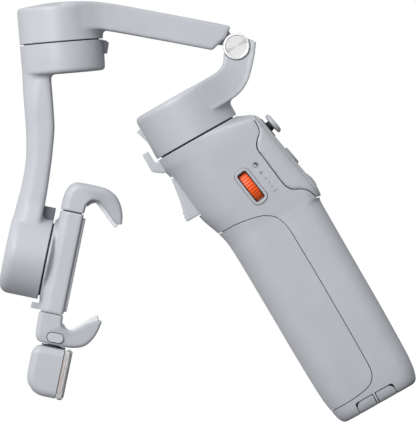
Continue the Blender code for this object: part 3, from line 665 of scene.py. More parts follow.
def moulded_tone_group():
    """Colour of a moulding: slow drift of tone, fine speckle, and paler handled edges."""
    group, given, out = node_group(
        "moulded_tone",
        [("Colour", "NodeSocketColor", (0.5, 0.5, 0.5, 1.0)), ("Drift", "NodeSocketFloat", 0.05),
         ("Speckle", "NodeSocketFloat", 0.04), ("Edge wear", "NodeSocketFloat", 0.15)],
        [("Colour", "NodeSocketColor"), ("Wear", "NodeSocketFloat")])
    place = add_node(group, "ShaderNodeTexCoord").outputs["Object"]
    drift = ramp(group, noise(group, place, 55.0), 0.3, 0.7, -1.0, 1.0)
    speckle = ramp(group, noise(group, place, 3600.0, 1.0), 0.25, 0.75, -1.0, 1.0)
    tone = maths(group, "ADD", maths(group, "MULTIPLY", drift, given.outputs["Drift"]),
                 maths(group, "MULTIPLY", speckle, given.outputs["Speckle"]))
    bright = maths(group, "ADD", tone, 1.0)
    scale = add_node(group, "ShaderNodeVectorMath", operation="SCALE")
    group.links.new(given.outputs["Colour"], scale.inputs[0])
    group.links.new(bright, scale.inputs["Scale"])
    edge = ramp(group, add_node(group, "ShaderNodeNewGeometry").outputs["Pointiness"], 0.53, 0.62, 0.0, 1.0)
    scuffed = maths(group, "MULTIPLY", edge, ramp(group, noise(group, place, 420.0), 0.35, 0.6, 0.2, 1.0))
    wear = maths(group, "MULTIPLY", scuffed, given.outputs["Edge wear"])
    group.links.new(mixed(group, wear, scale.outputs["Vector"], (0.86, 0.88, 0.90)), out.inputs["Colour"])
    group.links.new(wear, out.inputs["Wear"])
    return group


def fine_grain_group():
    """Height of a spark-eroded mould texture, with soft dents under a finer tooth."""
    group, given, out = node_group(
        "fine_grain",
        [("Grains per metre", "NodeSocketFloat", 3000.0), ("Dents", "NodeSocketFloat", 0.4)],
        [("Height", "NodeSocketFloat")])
    place = add_node(group, "ShaderNodeTexCoord").outputs["Object"]
    tooth = add_node(group, "ShaderNodeTexNoise", Detail=2.0)
    group.links.new(place, tooth.inputs["Vector"])
    group.links.new(given.outputs["Grains per metre"], tooth.inputs["Scale"])
    cells = add_node(group, "ShaderNodeTexVoronoi", feature="SMOOTH_F1")
    group.links.new(place, cells.inputs["Vector"])
    group.links.new(maths(group, "MULTIPLY", given.outputs["Grains per metre"], 0.45), cells.inputs["Scale"])
    dents = maths(group, "MULTIPLY", cells.outputs["Distance"], given.outputs["Dents"])
    group.links.new(maths(group, "ADD", tooth.outputs["Fac"], dents), out.inputs["Height"])
    return group


def gloss_drift_group():
    """Roughness that drifts with handling."""
    group, given, out = node_group(
        "gloss_drift",
        [("Roughness", "NodeSocketFloat", 0.4), ("Spread", "NodeSocketFloat", 0.05)],
        [("Roughness", "NodeSocketFloat")])
    place = add_node(group, "ShaderNodeTexCoord").outputs["Object"]
    drift = maths(group, "MULTIPLY", ramp(group, noise(group, place, 160.0, 3.0), 0.3, 0.7, -1.0, 1.0),
                  given.outputs["Spread"])
    group.links.new(maths(group, "ADD", given.outputs["Roughness"], drift), out.inputs["Roughness"])
    return group


def place_group(tree, name, **values):
    node = add_node(tree, "ShaderNodeGroup", node_tree=bpy.data.node_groups[name])
    for key, value in values.items():
        node.inputs[key.replace("_", " ")].default_value = value
    return node


def new_material(name):
    material = bpy.data.materials.new(name)
    material.use_nodes = True
    return material, material.node_tree, material.node_tree.nodes["Principled BSDF"]


def moulded(name, colour_value, roughness=0.42, grains=3000.0, bump=0.06, dents=0.4, drift=0.03, speckle=0.03,
            wear=0.15, spread=0.05, **shader_values):
    """A moulded or coated finish with tone, grain and gloss that all vary."""
    material, tree, shader = new_material(name)
    tone = place_group(tree, "moulded_tone", Colour=(*colour_value, 1.0), Drift=drift, Speckle=speckle,
                       Edge_wear=wear)
    tree.links.new(tone.outputs["Colour"], shader.inputs["Base Color"])
    gloss = place_group(tree, "gloss_drift", Roughness=roughness, Spread=spread)
    tree.links.new(gloss.outputs["Roughness"], shader.inputs["Roughness"])
    grain = place_group(tree, "fine_grain", Grains_per_metre=grains, Dents=dents)
    relief = add_node(tree, "ShaderNodeBump", Strength=bump, Distance=0.1 * MM)
    tree.links.new(grain.outputs["Height"], relief.inputs["Height"])
    tree.links.new(relief.outputs["Normal"], shader.inputs["Normal"])
    for socket, value in shader_values.items():
        shader.inputs[socket.replace("_", " ")].default_value = value
    return material


def spun_metal(name, colour_value, seat, roughness=0.36):
    """Face-turned metal: fine rings round the seat's Y axis, painted reflection wedges in the base colour
    that turn with them, and a painted highlight on the outer rim.
    """
    material, tree, shader = new_material(name)
    place = add_node(tree, "ShaderNodeTexCoord").outputs["Object"]
    centred = add_node(tree, "ShaderNodeMapping", vector_type="TEXTURE")
    centred.inputs["Location"].default_value = seat.to_translation()
    centred.inputs["Rotation"].default_value = seat.to_euler()
    tree.links.new(place, centred.inputs["Vector"])
    parts = add_node(tree, "ShaderNodeSeparateXYZ")
    tree.links.new(centred.outputs["Vector"], parts.inputs["Vector"])
    square = maths(tree, "ADD", maths(tree, "POWER", parts.outputs["X"], 2.0),
                   maths(tree, "POWER", parts.outputs["Z"], 2.0))
    radius = maths(tree, "SQRT", square, 0.0)
    rings = maths(tree, "SINE", maths(tree, "MULTIPLY", radius, 2 * math.pi / (0.5 * MM)), 0.0)
    angle = maths(tree, "ARCTAN2", parts.outputs["Z"], parts.outputs["X"])
    # Painted reflection: the base colour darkens in two wedges across the seat's X axis, standing in for the
    # streaked reflection of spun metal; the turned rings add a slight ring pattern
    reflection_wedge = maths(tree, "COSINE", maths(tree, "MULTIPLY", angle, 2.0), 0.0)
    narrow_painted_reflection = ramp(tree, reflection_wedge, 0.86, 1.0, 0.0, 0.4)
    wide = ramp(tree, reflection_wedge, 0.0, 1.0, 0.0, 0.12)
    shade = maths(tree, "SUBTRACT", 1.0, maths(tree, "ADD", narrow_painted_reflection, wide))
    tone = maths(tree, "ADD", shade, maths(tree, "MULTIPLY", rings, 0.04))
    painted_wedge_shade_colour = tuple(0.42 * c for c in colour_value)
    # Painted highlight: beyond 5.1 mm from the centre the colour goes almost white, standing in for the light
    # caught by the raised rim
    rim = ramp(tree, radius, 5.1 * MM, 5.25 * MM, 0.0, 1.0)
    face = mixed(tree, tone, painted_wedge_shade_colour, colour_value)
    tree.links.new(mixed(tree, rim, face, (0.99, 0.99, 1.0)), shader.inputs["Base Color"])
    gloss = place_group(tree, "gloss_drift", Roughness=roughness, Spread=0.02)
    tree.links.new(gloss.outputs["Roughness"], shader.inputs["Roughness"])
    relief = add_node(tree, "ShaderNodeBump", Strength=0.03, Distance=0.02 * MM)
    tree.links.new(rings, relief.inputs["Height"])
    tree.links.new(relief.outputs["Normal"], shader.inputs["Normal"])
    shader.inputs["Metallic"].default_value = 0.7
    return material


def wound_copper(name):
    """Enamelled wire: fine turns seen as bands on the windings."""
    material, tree, shader = new_material(name)
    place = add_node(tree, "ShaderNodeTexCoord").outputs["Object"]
    bands = add_node(tree, "ShaderNodeTexWave", Scale=900.0, Distortion=1.5)
    tree.links.new(place, bands.inputs["Vector"])
    tree.links.new(mixed(tree, bands.outputs["Fac"], (0.28, 0.09, 0.03), (0.72, 0.30, 0.12)),
                   shader.inputs["Base Color"])
    gloss = place_group(tree, "gloss_drift", Roughness=0.32, Spread=0.06)
    tree.links.new(gloss.outputs["Roughness"], shader.inputs["Roughness"])
    relief = add_node(tree, "ShaderNodeBump", Strength=0.5, Distance=0.15 * MM)
    tree.links.new(bands.outputs["Fac"], relief.inputs["Height"])
    tree.links.new(relief.outputs["Normal"], shader.inputs["Normal"])
    shader.inputs["Metallic"].default_value = 0.9
    return material


def circuit_board(name):
    """Solder mask with paler tracks laid on a square grid."""
    material, tree, shader = new_material(name)
    place = add_node(tree, "ShaderNodeTexCoord").outputs["Object"]
    tracks = add_node(tree, "ShaderNodeTexBrick", Scale=420.0)
    tracks.inputs["Color1"].default_value = (0.010, 0.085, 0.045, 1.0)
    tracks.inputs["Color2"].default_value = (0.014, 0.105, 0.058, 1.0)
    tracks.inputs["Mortar"].default_value = (0.10, 0.24, 0.12, 1.0)
    tree.links.new(place, tracks.inputs["Vector"])
    tree.links.new(tracks.outputs["Color"], shader.inputs["Base Color"])
    gloss = place_group(tree, "gloss_drift", Roughness=0.38, Spread=0.08)
    tree.links.new(gloss.outputs["Roughness"], shader.inputs["Roughness"])
    relief = add_node(tree, "ShaderNodeBump", Strength=0.3, Distance=0.1 * MM)
    tree.links.new(tracks.outputs["Fac"], relief.inputs["Height"])
    tree.links.new(relief.outputs["Normal"], shader.inputs["Normal"])
    return material


def clear_diffuser(name):
    """Clear acrylic with a fine prism texture."""
    material, tree, shader = new_material(name)
    place = add_node(tree, "ShaderNodeTexCoord").outputs["Object"]
    prisms = add_node(tree, "ShaderNodeTexWave", Scale=190.0, bands_direction="Y")
    tree.links.new(place, prisms.inputs["Vector"])
    tree.links.new(mixed(tree, prisms.outputs["Fac"], (0.95, 0.955, 0.965), (0.99, 0.99, 0.99)),
                   shader.inputs["Base Color"])
    gloss = place_group(tree, "gloss_drift", Roughness=0.12, Spread=0.03)
    tree.links.new(gloss.outputs["Roughness"], shader.inputs["Roughness"])
    relief = add_node(tree, "ShaderNodeBump", Strength=0.25, Distance=0.15 * MM)
    tree.links.new(prisms.outputs["Fac"], relief.inputs["Height"])
    tree.links.new(relief.outputs["Normal"], shader.inputs["Normal"])
    shader.inputs["Transmission Weight"].default_value = 0.72
    shader.inputs["IOR"].default_value = 1.3
    return material


def light_strip(name, colour_value):
    """A row of small lamps under a phosphor layer."""
    material, tree, shader = new_material(name)
    place = add_node(tree, "ShaderNodeTexCoord").outputs["Object"]
    dots = add_node(tree, "ShaderNodeTexVoronoi", Scale=420.0)
    tree.links.new(place, dots.inputs["Vector"])
    hot = ramp(tree, dots.outputs["Distance"], 0.15, 0.6, 1.0, 0.0)
    pale = tuple(0.5 + 0.5 * c for c in colour_value)
    tree.links.new(mixed(tree, hot, colour_value, pale), shader.inputs["Base Color"])
    gloss = place_group(tree, "gloss_drift", Roughness=0.35, Spread=0.05)
    tree.links.new(gloss.outputs["Roughness"], shader.inputs["Roughness"])
    return material


MATERIALS = {}


def mix_finishes():
    """Every finish of the object, from the colours in the panel."""
    moulded_tone_group()
    fine_grain_group()
    gloss_drift_group()
    tint = colours()
    shell, grip, dark = tuple(tint.shell), tuple(tint.grip), tuple(tint.dark)
    paler = tuple(min(1.0, 1.04 * c) for c in shell)
    MATERIALS.update({
        "shell": moulded("satin_shell", shell),
        "pod": moulded("satin_pod", paler, roughness=0.40),
        "button": moulded("satin_button", paler, roughness=0.36, wear=0.25),
        "grip": moulded("soft_grip", grip, roughness=0.62, grains=1500.0, bump=0.35, dents=0.8, speckle=0.07,
                        wear=0.1, Sheen_Weight=0.12, Sheen_Roughness=0.5),
        "dark": moulded("black_moulding", dark, roughness=0.45, speckle=0.08, wear=0.04),
        "stop": moulded("grey_stop", tuple(tint.stop), roughness=0.5, speckle=0.06, wear=0.2),
        "dial": moulded("dial_rubber", tuple(tint.dial), roughness=0.38, grains=4200.0, speckle=0.05,
                        wear=0.05),
        "rubber": moulded("clamp_rubber", tuple(tint.pad), roughness=0.7, grains=1900.0, bump=0.25,
                          wear=0.08),
        "sheet": moulded("prism_sheet", (0.90, 0.90, 0.92), roughness=0.5, speckle=0.04, wear=0.0),
        "ink": moulded("pad_print", tuple(tint.print_ink), roughness=0.55, speckle=0.1, wear=0.0),
        "steel": moulded("machined_steel", (0.58, 0.59, 0.61), roughness=0.28, grains=2600.0, bump=0.08,
                         speckle=0.05, wear=0.1, Metallic=1.0),
        "cell": moulded("cell_wrap", (0.035, 0.12, 0.26), roughness=0.34, speckle=0.04, wear=0.05),
        "spun": spun_metal("spun_aluminium", (0.84, 0.84, 0.85), HINGE_SEAT),
        "copper": wound_copper("enamelled_copper"),
        "board": circuit_board("circuit_board"),
        "diffuser": clear_diffuser("clear_diffuser"),
        "strip": light_strip("lamp_strip", tuple(tint.strip)),
    })


def refinish(material, *nodes):
    """Give frame nodes whose shape stays a full material."""
    for name in nodes:
        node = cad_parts[name]
        node.data.materials.clear()
        node.data.materials.append(MATERIALS[material])


# ---------------------------------------------------------------- handle

def skin_levels():
    """Heights of the handle's rings: close together where its outline turns."""
    low = [0.0, 0.15, 0.3, 0.6, 1.2, 2.0, 3.0, 4.0, 5.5]
    middle = [7.0 + 2.2 * k for k in range(39)]
    pod_foot = [92.0 + 0.8 * k for k in range(12)]
    upper = [102.0 + 1.7 * k for k in range(24)]
    top = [142.4 + 0.4 * k for k in range(13)] + [HANDLE_TOP]
    return low + middle + pod_foot + upper + top


def skin_rows(levels):
    return smooth_rows(HANDLE_STATIONS, levels)


def skin(name, inset):
    """The handle's outer form, moved inwards by inset."""
    rings = []
    levels = skin_levels()
    for level, (low, high, half, low_radius, high_radius) in zip(levels, skin_rows(levels)):
        height = min(max(level, inset), HANDLE_TOP - inset)
        if rings and height <= rings[-1][0][2] + 0.01:
            rings.pop()
        ring = rounded_ring(low + inset, high - inset, half - inset, low_radius - inset,
                            high_radius - inset, steps=12)
        rings.append([(x, y, height) for x, y in ring])
    return lofted(name, rings)


def grip_outline():
    """The grip's edge as a fine smooth outline, closed outside the handle."""
    return smooth_line(GRIP_EDGE[1:-1]) + [GRIP_EDGE[-1], GRIP_EDGE[0]]


def pod_outline():
    return smooth_line(POD_SEAM, 4) + [(40.0, 96.2), (40.0, 142.7)]


def notch(name, low_x, high_x, low_y, high_y, top, radius, outer):
    """A slot that is open downwards, with one round upper corner on its outer side."""
    if outer < 0:
        corner = arc((low_x + radius, top - radius), radius, 180, 90)
        outline = [(high_x, -1.0), (low_x, -1.0)] + corner + [(high_x, top)]
    else:
        corner = arc((high_x - radius, top - radius), radius, 90, 0)
        outline = [(high_x, -1.0), (low_x, -1.0), (low_x, top)] + corner
    return plate(name, outline, low_y, high_y)


def shell_blank():
    """The hollow skin with the openings that both half shells share."""
    gap = sizes().seam_gap / MM
    blank = skin("shell_blank", 0.0)
    sleeve_room = plate("sleeve_room", grow_outline(grip_outline(), gap), -30.0, 30.0)
    cut(sleeve_room, skin("under_sleeve", SLEEVE_THICKNESS + 0.3))
    cutters = [
        plate("pod_room", grow_outline(pod_outline(), 0.6 * gap), -30.0, 30.0),
        rounded_box("trigger_slot", (-40.0, -6.9, 115.8), (-25.0, 6.9, 137.9), 1.0, "X"),
        rounded_box("base_room", (-15.0, -11.0, -1.0), (16.0, 11.0, 4.2), 2.0, "Z"),
        notch("front_notch_1", -9.9, -0.45, -20.0, -10.0, 5.5, 1.2, -1),
        notch("front_notch_2", 0.45, 9.9, -20.0, -10.0, 5.5, 1.2, 1),
        rounded_box("rear_notch", (-5.3, 10.0, -1.0), (5.3, 20.0, 5.5), 1.2, "Y"),
        rounded_box("usb_hole", (17.0, -5.0, 81.9), (30.0, 5.0, 86.1), 1.7, "X"),
    ]
    cut(blank, sleeve_room, skin("cavity", SHELL_WALL), *cutters)
    return blank


def half_of(blank, name, side):
    """One half of the shell, with the thin parting line between the two."""
    line = 0.08
    shell = copy_of(blank, name)
    low = (-60.0, -40.0, -10.0) if side > 0 else (-60.0, -line, -10.0)
    high = (60.0, line, 160.0) if side > 0 else (60.0, 40.0, 160.0)
    return cut(shell, rounded_box(name + "_half", low, high, 0.0))


def handle_shells():
    """Left and right half shells. The dial's window is in the left one."""
    blank = shell_blank()
    left = half_of(blank, "left_shell", -1)
    right = half_of(blank, "right_shell", 1)
    bpy.data.objects.remove(blank, do_unlink=True)
    pocket = round_bar("dial_pocket", DIAL_ROOM_RADIUS, -2.5, 2.5, "X", (0.0, DIAL_AXLE_DEPTH, 0.0))
    bezel_room = rounded_box("bezel_room", (-4.02, -3.0, -9.42), (4.02, 1.4, 9.42), 3.1, "Y", 8)
    cut(left, moved(pocket, DIAL_SEAT), moved(bezel_room, DIAL_SEAT))
    finish_piece(left, "handle", MATERIALS["shell"], ["handle_shell_left"])
    finish_piece(right, "handle", MATERIALS["shell"], ["handle_shell_right"])


def pod_gasket():
    """Dark backing behind the seam round the pod: painted shade that makes the seam read as a dark line."""
    seam_shade_piece = plate("pod_gasket", grow_outline(pod_outline(), 0.9), -30.0, 30.0)
    cut(seam_shade_piece, plate("gasket_hole", grow_outline(pod_outline(), 0.05), -40.0, 40.0))
    keep_inside(seam_shade_piece, skin("gasket_room", 2.4))
    finish_piece(seam_shade_piece, "handle", MATERIALS["dark"])


def soft_grip():
    """The sleeve stands a hair proud of the shells and has a fine texture."""
    grip = plate("grip_skin", grip_outline(), -30.0, 30.0)
    keep_inside(grip, skin("grip_outside", -0.12))
    cut(grip, skin("grip_inside", SLEEVE_THICKNESS))
    finish_piece(grip, "handle", MATERIALS["grip"], ["grip_sleeve"])


def hook_and_trigger():
    """Hook that holds the folded arm, and the finger trigger with its grip bumps."""
    outline = [(-38.6, 153.3), (-35.5, 153.3), (-35.4, 147.9), (-35.0, 147.3), (-34.2, 147.0), (-30.0, 147.0),
               (-30.0, 141.2), (-34.4, 141.2), (-38.0, 143.8), (-38.6, 144.9)]
    hook = plate("strap_hook", outline, -5.0, 5.0, 0.5)
    cut(hook, skin("hook_clear", -0.1))
    finish_piece(hook, "handle", MATERIALS["shell"], ["stow_hook"])
    face = [(-32.4, 137.2), (-32.8, 134.0), (-33.2, 131.0), (-33.9, 126.5), (-34.7, 122.8), (-35.1, 121.2)]
    bumps = [p for z in (120.4, 118.6) for p in arc((-35.3 - 0.25 * (120.4 - z) / 1.8, z), 0.55, 60, 270, 5)]
    outline = face + bumps + [(-36.1, 117.0), (-35.7, 116.3), (-27.8, 116.4), (-27.8, 137.2)]
    lever = soften(plate("finger_trigger", outline, -6.5, 6.5), 0.3, 10)
    finish_piece(lever, "trigger", MATERIALS["button"], ["trigger"])


def base_and_tripod():
    """Flat base plate, and the pull-out foot with its three legs."""
    base = rounded_box("base_plate", (-14.7, -10.7, 0.0), (15.7, 10.7, 2.5), 2.0, "Z")
    cut(base, rounded_box("front_slot", (-9.9, -20.0, -5.0), (9.9, -3.7, 10.0), 0.0),
        rounded_box("rear_slot", (-5.3, 3.7, -5.0), (5.3, 20.0, 10.0), 0.0))
    with editing(base, "EDGE"):
        pick_edges(base, lambda a, b: a.z < 0.01 and b.z < 0.01)
        bpy.ops.mesh.bevel(offset=0.35 * MM, segments=2, affect="EDGES")
    finish_piece(base, "handle", MATERIALS["shell"], ["base_cap"])
    hub = soften(rounded_box("tripod_head", (-10.0, -11.5, 50.3), (10.0, 11.5, 58.0), 2.0, "Z"), 0.5, 4)
    finish_piece(hub, "tripod", MATERIALS["stop"], ["tripod_hub"])
    for name, node, low_x, high_x, side in (("tripod_foot_1", "tripod_leg_1", -9.6, -0.85, -1),
                                            ("tripod_foot_2", "tripod_leg_2", 0.85, 9.6, -1),
                                            ("tripod_foot_3", "tripod_leg_3", -5.0, 5.0, 1)):
        foot = tripod_leg(name, low_x, high_x, side)
        finish_piece(foot, "tripod", MATERIALS["shell"], [node])


def tripod_leg(name, low_x, high_x, side):
    """A leg with a lightening slot, and a foot that ends flush with the handle's skin."""
    inner, outer = sorted((4.0 * side, 11.9 * side))
    leg = rounded_box(name, (low_x, inner, 0.0), (high_x, outer, 50.0), 0.8, "Z")
    slot_x = (high_x - low_x) / 2 - 2.2
    middle = (low_x + high_x) / 2
    slot_low, slot_high = sorted((9.9 * side, 13.0 * side))
    cut(leg, rounded_box("leg_slot", (middle - slot_x, slot_low, 12.0), (middle + slot_x, slot_high, 45.0),
                         1.5, "Y"))
    near, far = sorted((11.0 * side, 16.4 * side))
    block = rounded_box("foot_block", (low_x, near, 0.0), (high_x, far, 5.1), 0.0)
    outer_x = None if side > 0 else (low_x if low_x < 0 and high_x < 0 else high_x)
    with editing(block, "EDGE"):
        pick_edges(block, lambda a, b: abs(a.x - b.x) < 0.01 and abs(a.z - b.z) < 0.01 and a.z > 4.0
                   and (outer_x is None or abs(a.x - outer_x) < 0.01))
        bpy.ops.mesh.bevel(offset=2.8 * MM, segments=8, affect="EDGES")
    keep_inside(block, skin(name + "_room", 0.1))
    return combine(leg, "UNION", block)


def printed_marks():
    """Plus, minus, dots and a half-filled disc, laid on the flat side beside the dial."""
    marks = []
    disc = (4.4, 123.6)
    marks.append(plate("mark_ring", arc(disc, 1.3, 0, 360, 40)[:-1], -0.08, 0.08))
    cut(marks[0], plate("mark_hole", arc(disc, 1.08, 0, 360, 40)[:-1], -1.0, 1.0))
    marks.append(plate("mark_half", arc(disc, 1.0, -60, 120, 24), -0.08, 0.08))
    for x, z in ((5.6, 115.8), (6.0, 113.6), (6.3, 111.4)):
        marks.append(plate("mark_dot", arc((x, z), 0.30, 0, 360, 20)[:-1], -0.08, 0.08))
    for x, z, long_x, long_z in ((4.9, 119.3, 1.0, 0.12), (4.9, 119.3, 0.12, 1.0), (6.7, 109.0, 1.05, 0.12)):
        marks.append(rounded_box("mark_bar", (x - long_x, -0.08, z - long_z), (x + long_x, 0.08, z + long_z),
                                 0.0))
        turn = Matrix.Rotation(math.radians(-8.6), 4, "Y")
        centre = Matrix.Translation(Vector((x, 0.0, z)) * MM)
        moved(marks[-1], centre @ turn @ centre.inverted())
    piece = gathered("dial_marks", *marks)
    heights = [vertex.co.z / MM for vertex in piece.data.vertices]
    for vertex, row in zip(piece.data.vertices, skin_rows(heights)):
        vertex.co.y -= (row[2] - 0.03) * MM
    finish_piece(piece, "handle", MATERIALS["ink"])


# ---------------------------------------------------------------- dial

def dial():
    """Ribbed wheel in a dark window with a round frame."""
    axle = (0.0, DIAL_AXLE_DEPTH, 0.0)
    bezel = rounded_box("dial_frame", (-3.85, -0.55, -9.25), (3.85, 1.1, 9.25), 3.0, "Y", 10)
    cut(bezel, rounded_box("dial_window", (-2.5, -5.0, -7.75), (2.5, 5.0, 7.75), 1.0, "Y", 6))
    cut(bezel, round_bar("dial_clear", DIAL_ROOM_RADIUS, -2.48, 2.48, "X", axle))
    soften(bezel, 0.22, 5)
    finish_piece(bezel, "handle", MATERIALS["shell"], ["dial_bezel"], DIAL_SEAT)
    liner = rounded_box("dial_liner", (-2.7, -0.2, -7.95), (2.7, 1.1, 7.95), 1.2, "Y", 6)
    cut(liner, rounded_box("liner_window", (-2.16, -5.0, -7.4), (2.16, 5.0, 7.4), 0.8, "Y", 6))
    finish_piece(liner, "handle", MATERIALS["dark"], (), DIAL_SEAT)
    wheel = ribbed_wheel("ribbed_dial", 9.92, 2.05)
    turned_to(wheel, "X", axle)
    cut(wheel, round_bar("dial_bore", 1.3, -5.0, 5.0, "X", axle))
    finish_piece(wheel, "dial", MATERIALS["dial"], ["dial_wheel"], DIAL_SEAT)
    refinish("steel", "dial_axle")


def ribbed_wheel(name, radius, half_width):
    """A wheel whose rim is drawn in between its ribs."""
    ribs = sizes().dial_ribs
    per_rib = 8
    bpy.ops.mesh.primitive_cylinder_add(vertices=ribs * per_rib, radius=radius * MM,
                                        depth=2 * half_width * MM)
    wheel = named(name)
    with editing(wheel, "FACE"):
        pick_faces(wheel, lambda centre, normal: abs(normal.z) > 0.9)
        bpy.ops.mesh.bevel(offset=0.35 * MM, segments=3, affect="EDGES")
    turn = 2 * math.pi / ribs
    for vertex in wheel.data.vertices:
        place = vertex.co.xy
        if place.length > 0.9 * radius * MM:
            share = (math.atan2(place.y, place.x) / turn) % 1.0
            draw = 1.0 - 0.05 * (abs(2 * share - 1) ** 6)
            vertex.co.x *= draw
            vertex.co.y *= draw
    return wheel


# ---------------------------------------------------------------- control pod

def control_pod():
    """Clip-on pod: body, thumb face, joystick and two buttons."""
    joystick = (0.0, 0.0, 35.3)
    record = (0.0, 0.0, 18.4)
    pod = plate("pod_blank", pod_outline(), -30.0, 30.0)
    keep_inside(pod, skin("pod_skin", 0.0))
    remesh(pod, 0.42)
    body = smooth(copy_of(pod, "pod_body"), 58)
    smooth(pod, 7)
    line = 0.04
    record_well = round_bar("record_well", 4.9, -3.2, 5.0, "X", record)
    mode_well = rounded_box("mode_well", (-3.2, -6.4, 0.1), (5.0, 6.4, 7.9), 3.0, "X", 8)
    wells = [moved(record_well, POD_SEAT), moved(mode_well, POD_SEAT)]
    cut(body, *[copy_of(well, well.name) for well in wells])
    cut(pod, *wells)
    front = rounded_box("pod_front", (-1.65 - line, -40.0, -30.0), (60.0, 40.0, 70.0), 0.0)
    stick_well = round_bar("stick_well", 3.3, -3.0, 5.0, "X", joystick)
    cut(body, moved(front, POD_SEAT), moved(stick_well, POD_SEAT))
    finish_piece(body, "remote", MATERIALS["pod"], ["remote_body"])
    back = rounded_box("pod_back", (-60.0, -40.0, -50.0), (-1.65 + line, 40.0, 70.0), 0.0)
    stick_hole = round_bar("stick_hole", 5.6, -5.0, 5.0, "X", joystick)
    cut(pod, moved(back, POD_SEAT), moved(stick_hole, POD_SEAT))
    pod.name = "pod_face"
    finish_piece(pod, "remote", MATERIALS["pod"], ["remote_face"])
    ring = turned("stick_ring", [(3.9, -1.4), (3.9, 0.3), (4.1, 0.5), (4.9, 0.5), (5.3, 0.1), (5.3, -1.4)],
                  closed=True)
    finish_piece(turned_to(ring, "X", joystick), "remote", MATERIALS["dark"], ["joystick_bezel"],
                 POD_SEAT)
    stick_cap(joystick)
    push_buttons(record)
    refinish("shell", "remote_cradle")
    refinish("steel", "joystick_yoke")


def stick_cap(centre):
    """Mushroom cap with a dished, knurled top, on a dark stem."""
    dome = [(0.4, 4.15), (1.6, 4.25), (2.8, 4.4), (3.6, 4.45), (4.3, 4.25), (4.8, 3.8), (5.0, 3.2),
            (4.95, 2.65), (4.6, 2.3), (3.6, 2.15), (2.4, 2.05)]
    cap = turned_to(turned("thumb_cap", dome, 72), "X", centre)
    finish_piece(cap, "joystick_cap", MATERIALS["button"], ["joystick_cap"], POD_SEAT)
    stem = turned_to(turned("thumb_stem", [(2.2, 2.3), (2.4, 0.9), (2.7, 0.2), (1.4, -0.4), (1.4, -2.5)], 48),
                     "X", centre)
    finish_piece(stem, "joystick_cap", MATERIALS["dark"], (), POD_SEAT)


def push_buttons(record):
    """A round dished button and a long one with a raised bar."""
    dished = [(0.5, 0.62), (2.0, 0.72), (3.3, 0.92), (3.8, 1.0), (4.2, 0.92), (4.45, 0.65), (4.5, 0.3),
              (4.5, -1.6)]
    button = turned_to(turned("record_key", dished, 72), "X", record)
    finish_piece(button, "record_button", MATERIALS["button"], ["record_button"], POD_SEAT)
    bar = rounded_box("mode_key", (-1.6, -6.0, 0.5), (0.5, 6.0, 7.5), 2.8, "X", 8)
    ridge = rounded_box("mode_ridge", (0.0, -4.4, 2.2), (0.8, 4.4, 5.8), 1.2, "X", 6)
    soften(gathered("mode_key", bar, ridge), 0.25, 5)
    finish_piece(bar, "mode_button", MATERIALS["button"], ["mode_button"], POD_SEAT)


# ---------------------------------------------------------------- motor casings and arms

def rim_cutter(name, radius, level, side):
    """Cuts a casing off at a level and leaves a small chamfer on its rim."""
    chamfer = sizes().rim_chamfer / MM
    past = level + side * (chamfer + 0.05)
    outer = radius + 6.0
    return turned(name, [(radius - chamfer, level), (radius + 0.05, past), (outer, past),
                         (outer, level - side * 40.0)])


def casing_profile(radius, top, corner, end):
    """Outside of a casing, from its crowned closed end to its open end."""
    crown = [(0.5, top + 0.05), (radius * 0.55, top), (radius - corner, top - 0.12)]
    return crown + arc((radius - corner, top - corner), corner, 84, 0, 7) + [(radius, end)]


def hinge_cutters():
    """Slot, cap seats and bore of the fold hinge."""
    shapes = [
        round_bar("hinge_slot", 6.5, -5.0, 5.0, "Y"),
        rounded_box("slot_mouth", (-14.0, -4.95, -2.1), (0.35, 4.95, 12.0), 0.0),
        round_bar("front_seat", 6.55, -20.0, -7.3, "Y"),
        round_bar("rear_seat", 6.55, 7.3, 20.0, "Y"),
        round_bar("pin_bore", 2.3, -20.0, 20.0, "Y"),
    ]
    return [moved(shape, HINGE_SEAT) for shape in shapes]


def pan_casing():
    """Pan drum with the neck that carries the fold hinge, and the pan stop."""
    drum = turned("pan_drum", casing_profile(PAN_RADIUS, 21.0, 2.4, -3.0))
    moved(drum, PAN_SEAT)
    neck = beam("neck", finer(NECK_CURVE) + NECK_LIP, 1.2)
    hub = moved(round_bar("hub", 5.8, -9.5, 9.5, "Y"), HINGE_SEAT)
    strip = beam("neck_strip", finer(NECK_STRIP), 0.6)
    crisp_strip = copy_of(strip, "neck_edge")
    casing = fill_inner_corners(gathered("pan_casing", drum, neck, hub, strip), passes=sizes().inner_fillet)
    soften(casing, 0.5, 5)
    combine(casing, "UNION", crisp_strip)
    cut(casing, moved(rim_cutter("pan_rim", PAN_RADIUS, -0.25, 1), PAN_SEAT))
    bay = moved(round_bar("pan_bay", PAN_RADIUS - HOUSING_WALL, -5.0, 17.6), PAN_SEAT)
    cut(casing, bay, *hinge_cutters())
    finish_piece(casing, "pan", MATERIALS["shell"], ["pan_housing"])
    tab = plate("pan_tab", [(-23.1, 15.2), (-20.5, 16.0), (-20.5, 6.9)], -3.0, 3.0, 0.2)
    finish_piece(tab, "pan", MATERIALS["shell"], ["pan_stop_tab"], PAN_SEAT)


def hinge_caps():
    """Spun discs with a raised rim round a shallow dish; the rim's brightness is a painted highlight in their
    material.
    """
    profile = [(0.3, 10.0), (4.9, 10.0), (5.05, 10.1), (5.15, 10.42), (5.35, 10.5), (5.85, 10.45),
               (6.1, 10.2), (HINGE_RADIUS, 9.8), (HINGE_RADIUS, 7.6)]
    rear = turned("rear_cap", profile, 128)
    front = copy_of(rear, "front_cap")
    turned_to(rear, "Y")
    turned_to(front, "Y")
    moved(front, Matrix.Rotation(math.pi, 4, "X"))
    finish_piece(front, "pan", MATERIALS["spun"], ["hinge_cap_front"], HINGE_SEAT, 25.0)
    finish_piece(rear, "pan", MATERIALS["spun"], ["hinge_cap_rear"], HINGE_SEAT, 25.0)
    refinish("steel", "hinge_pin")


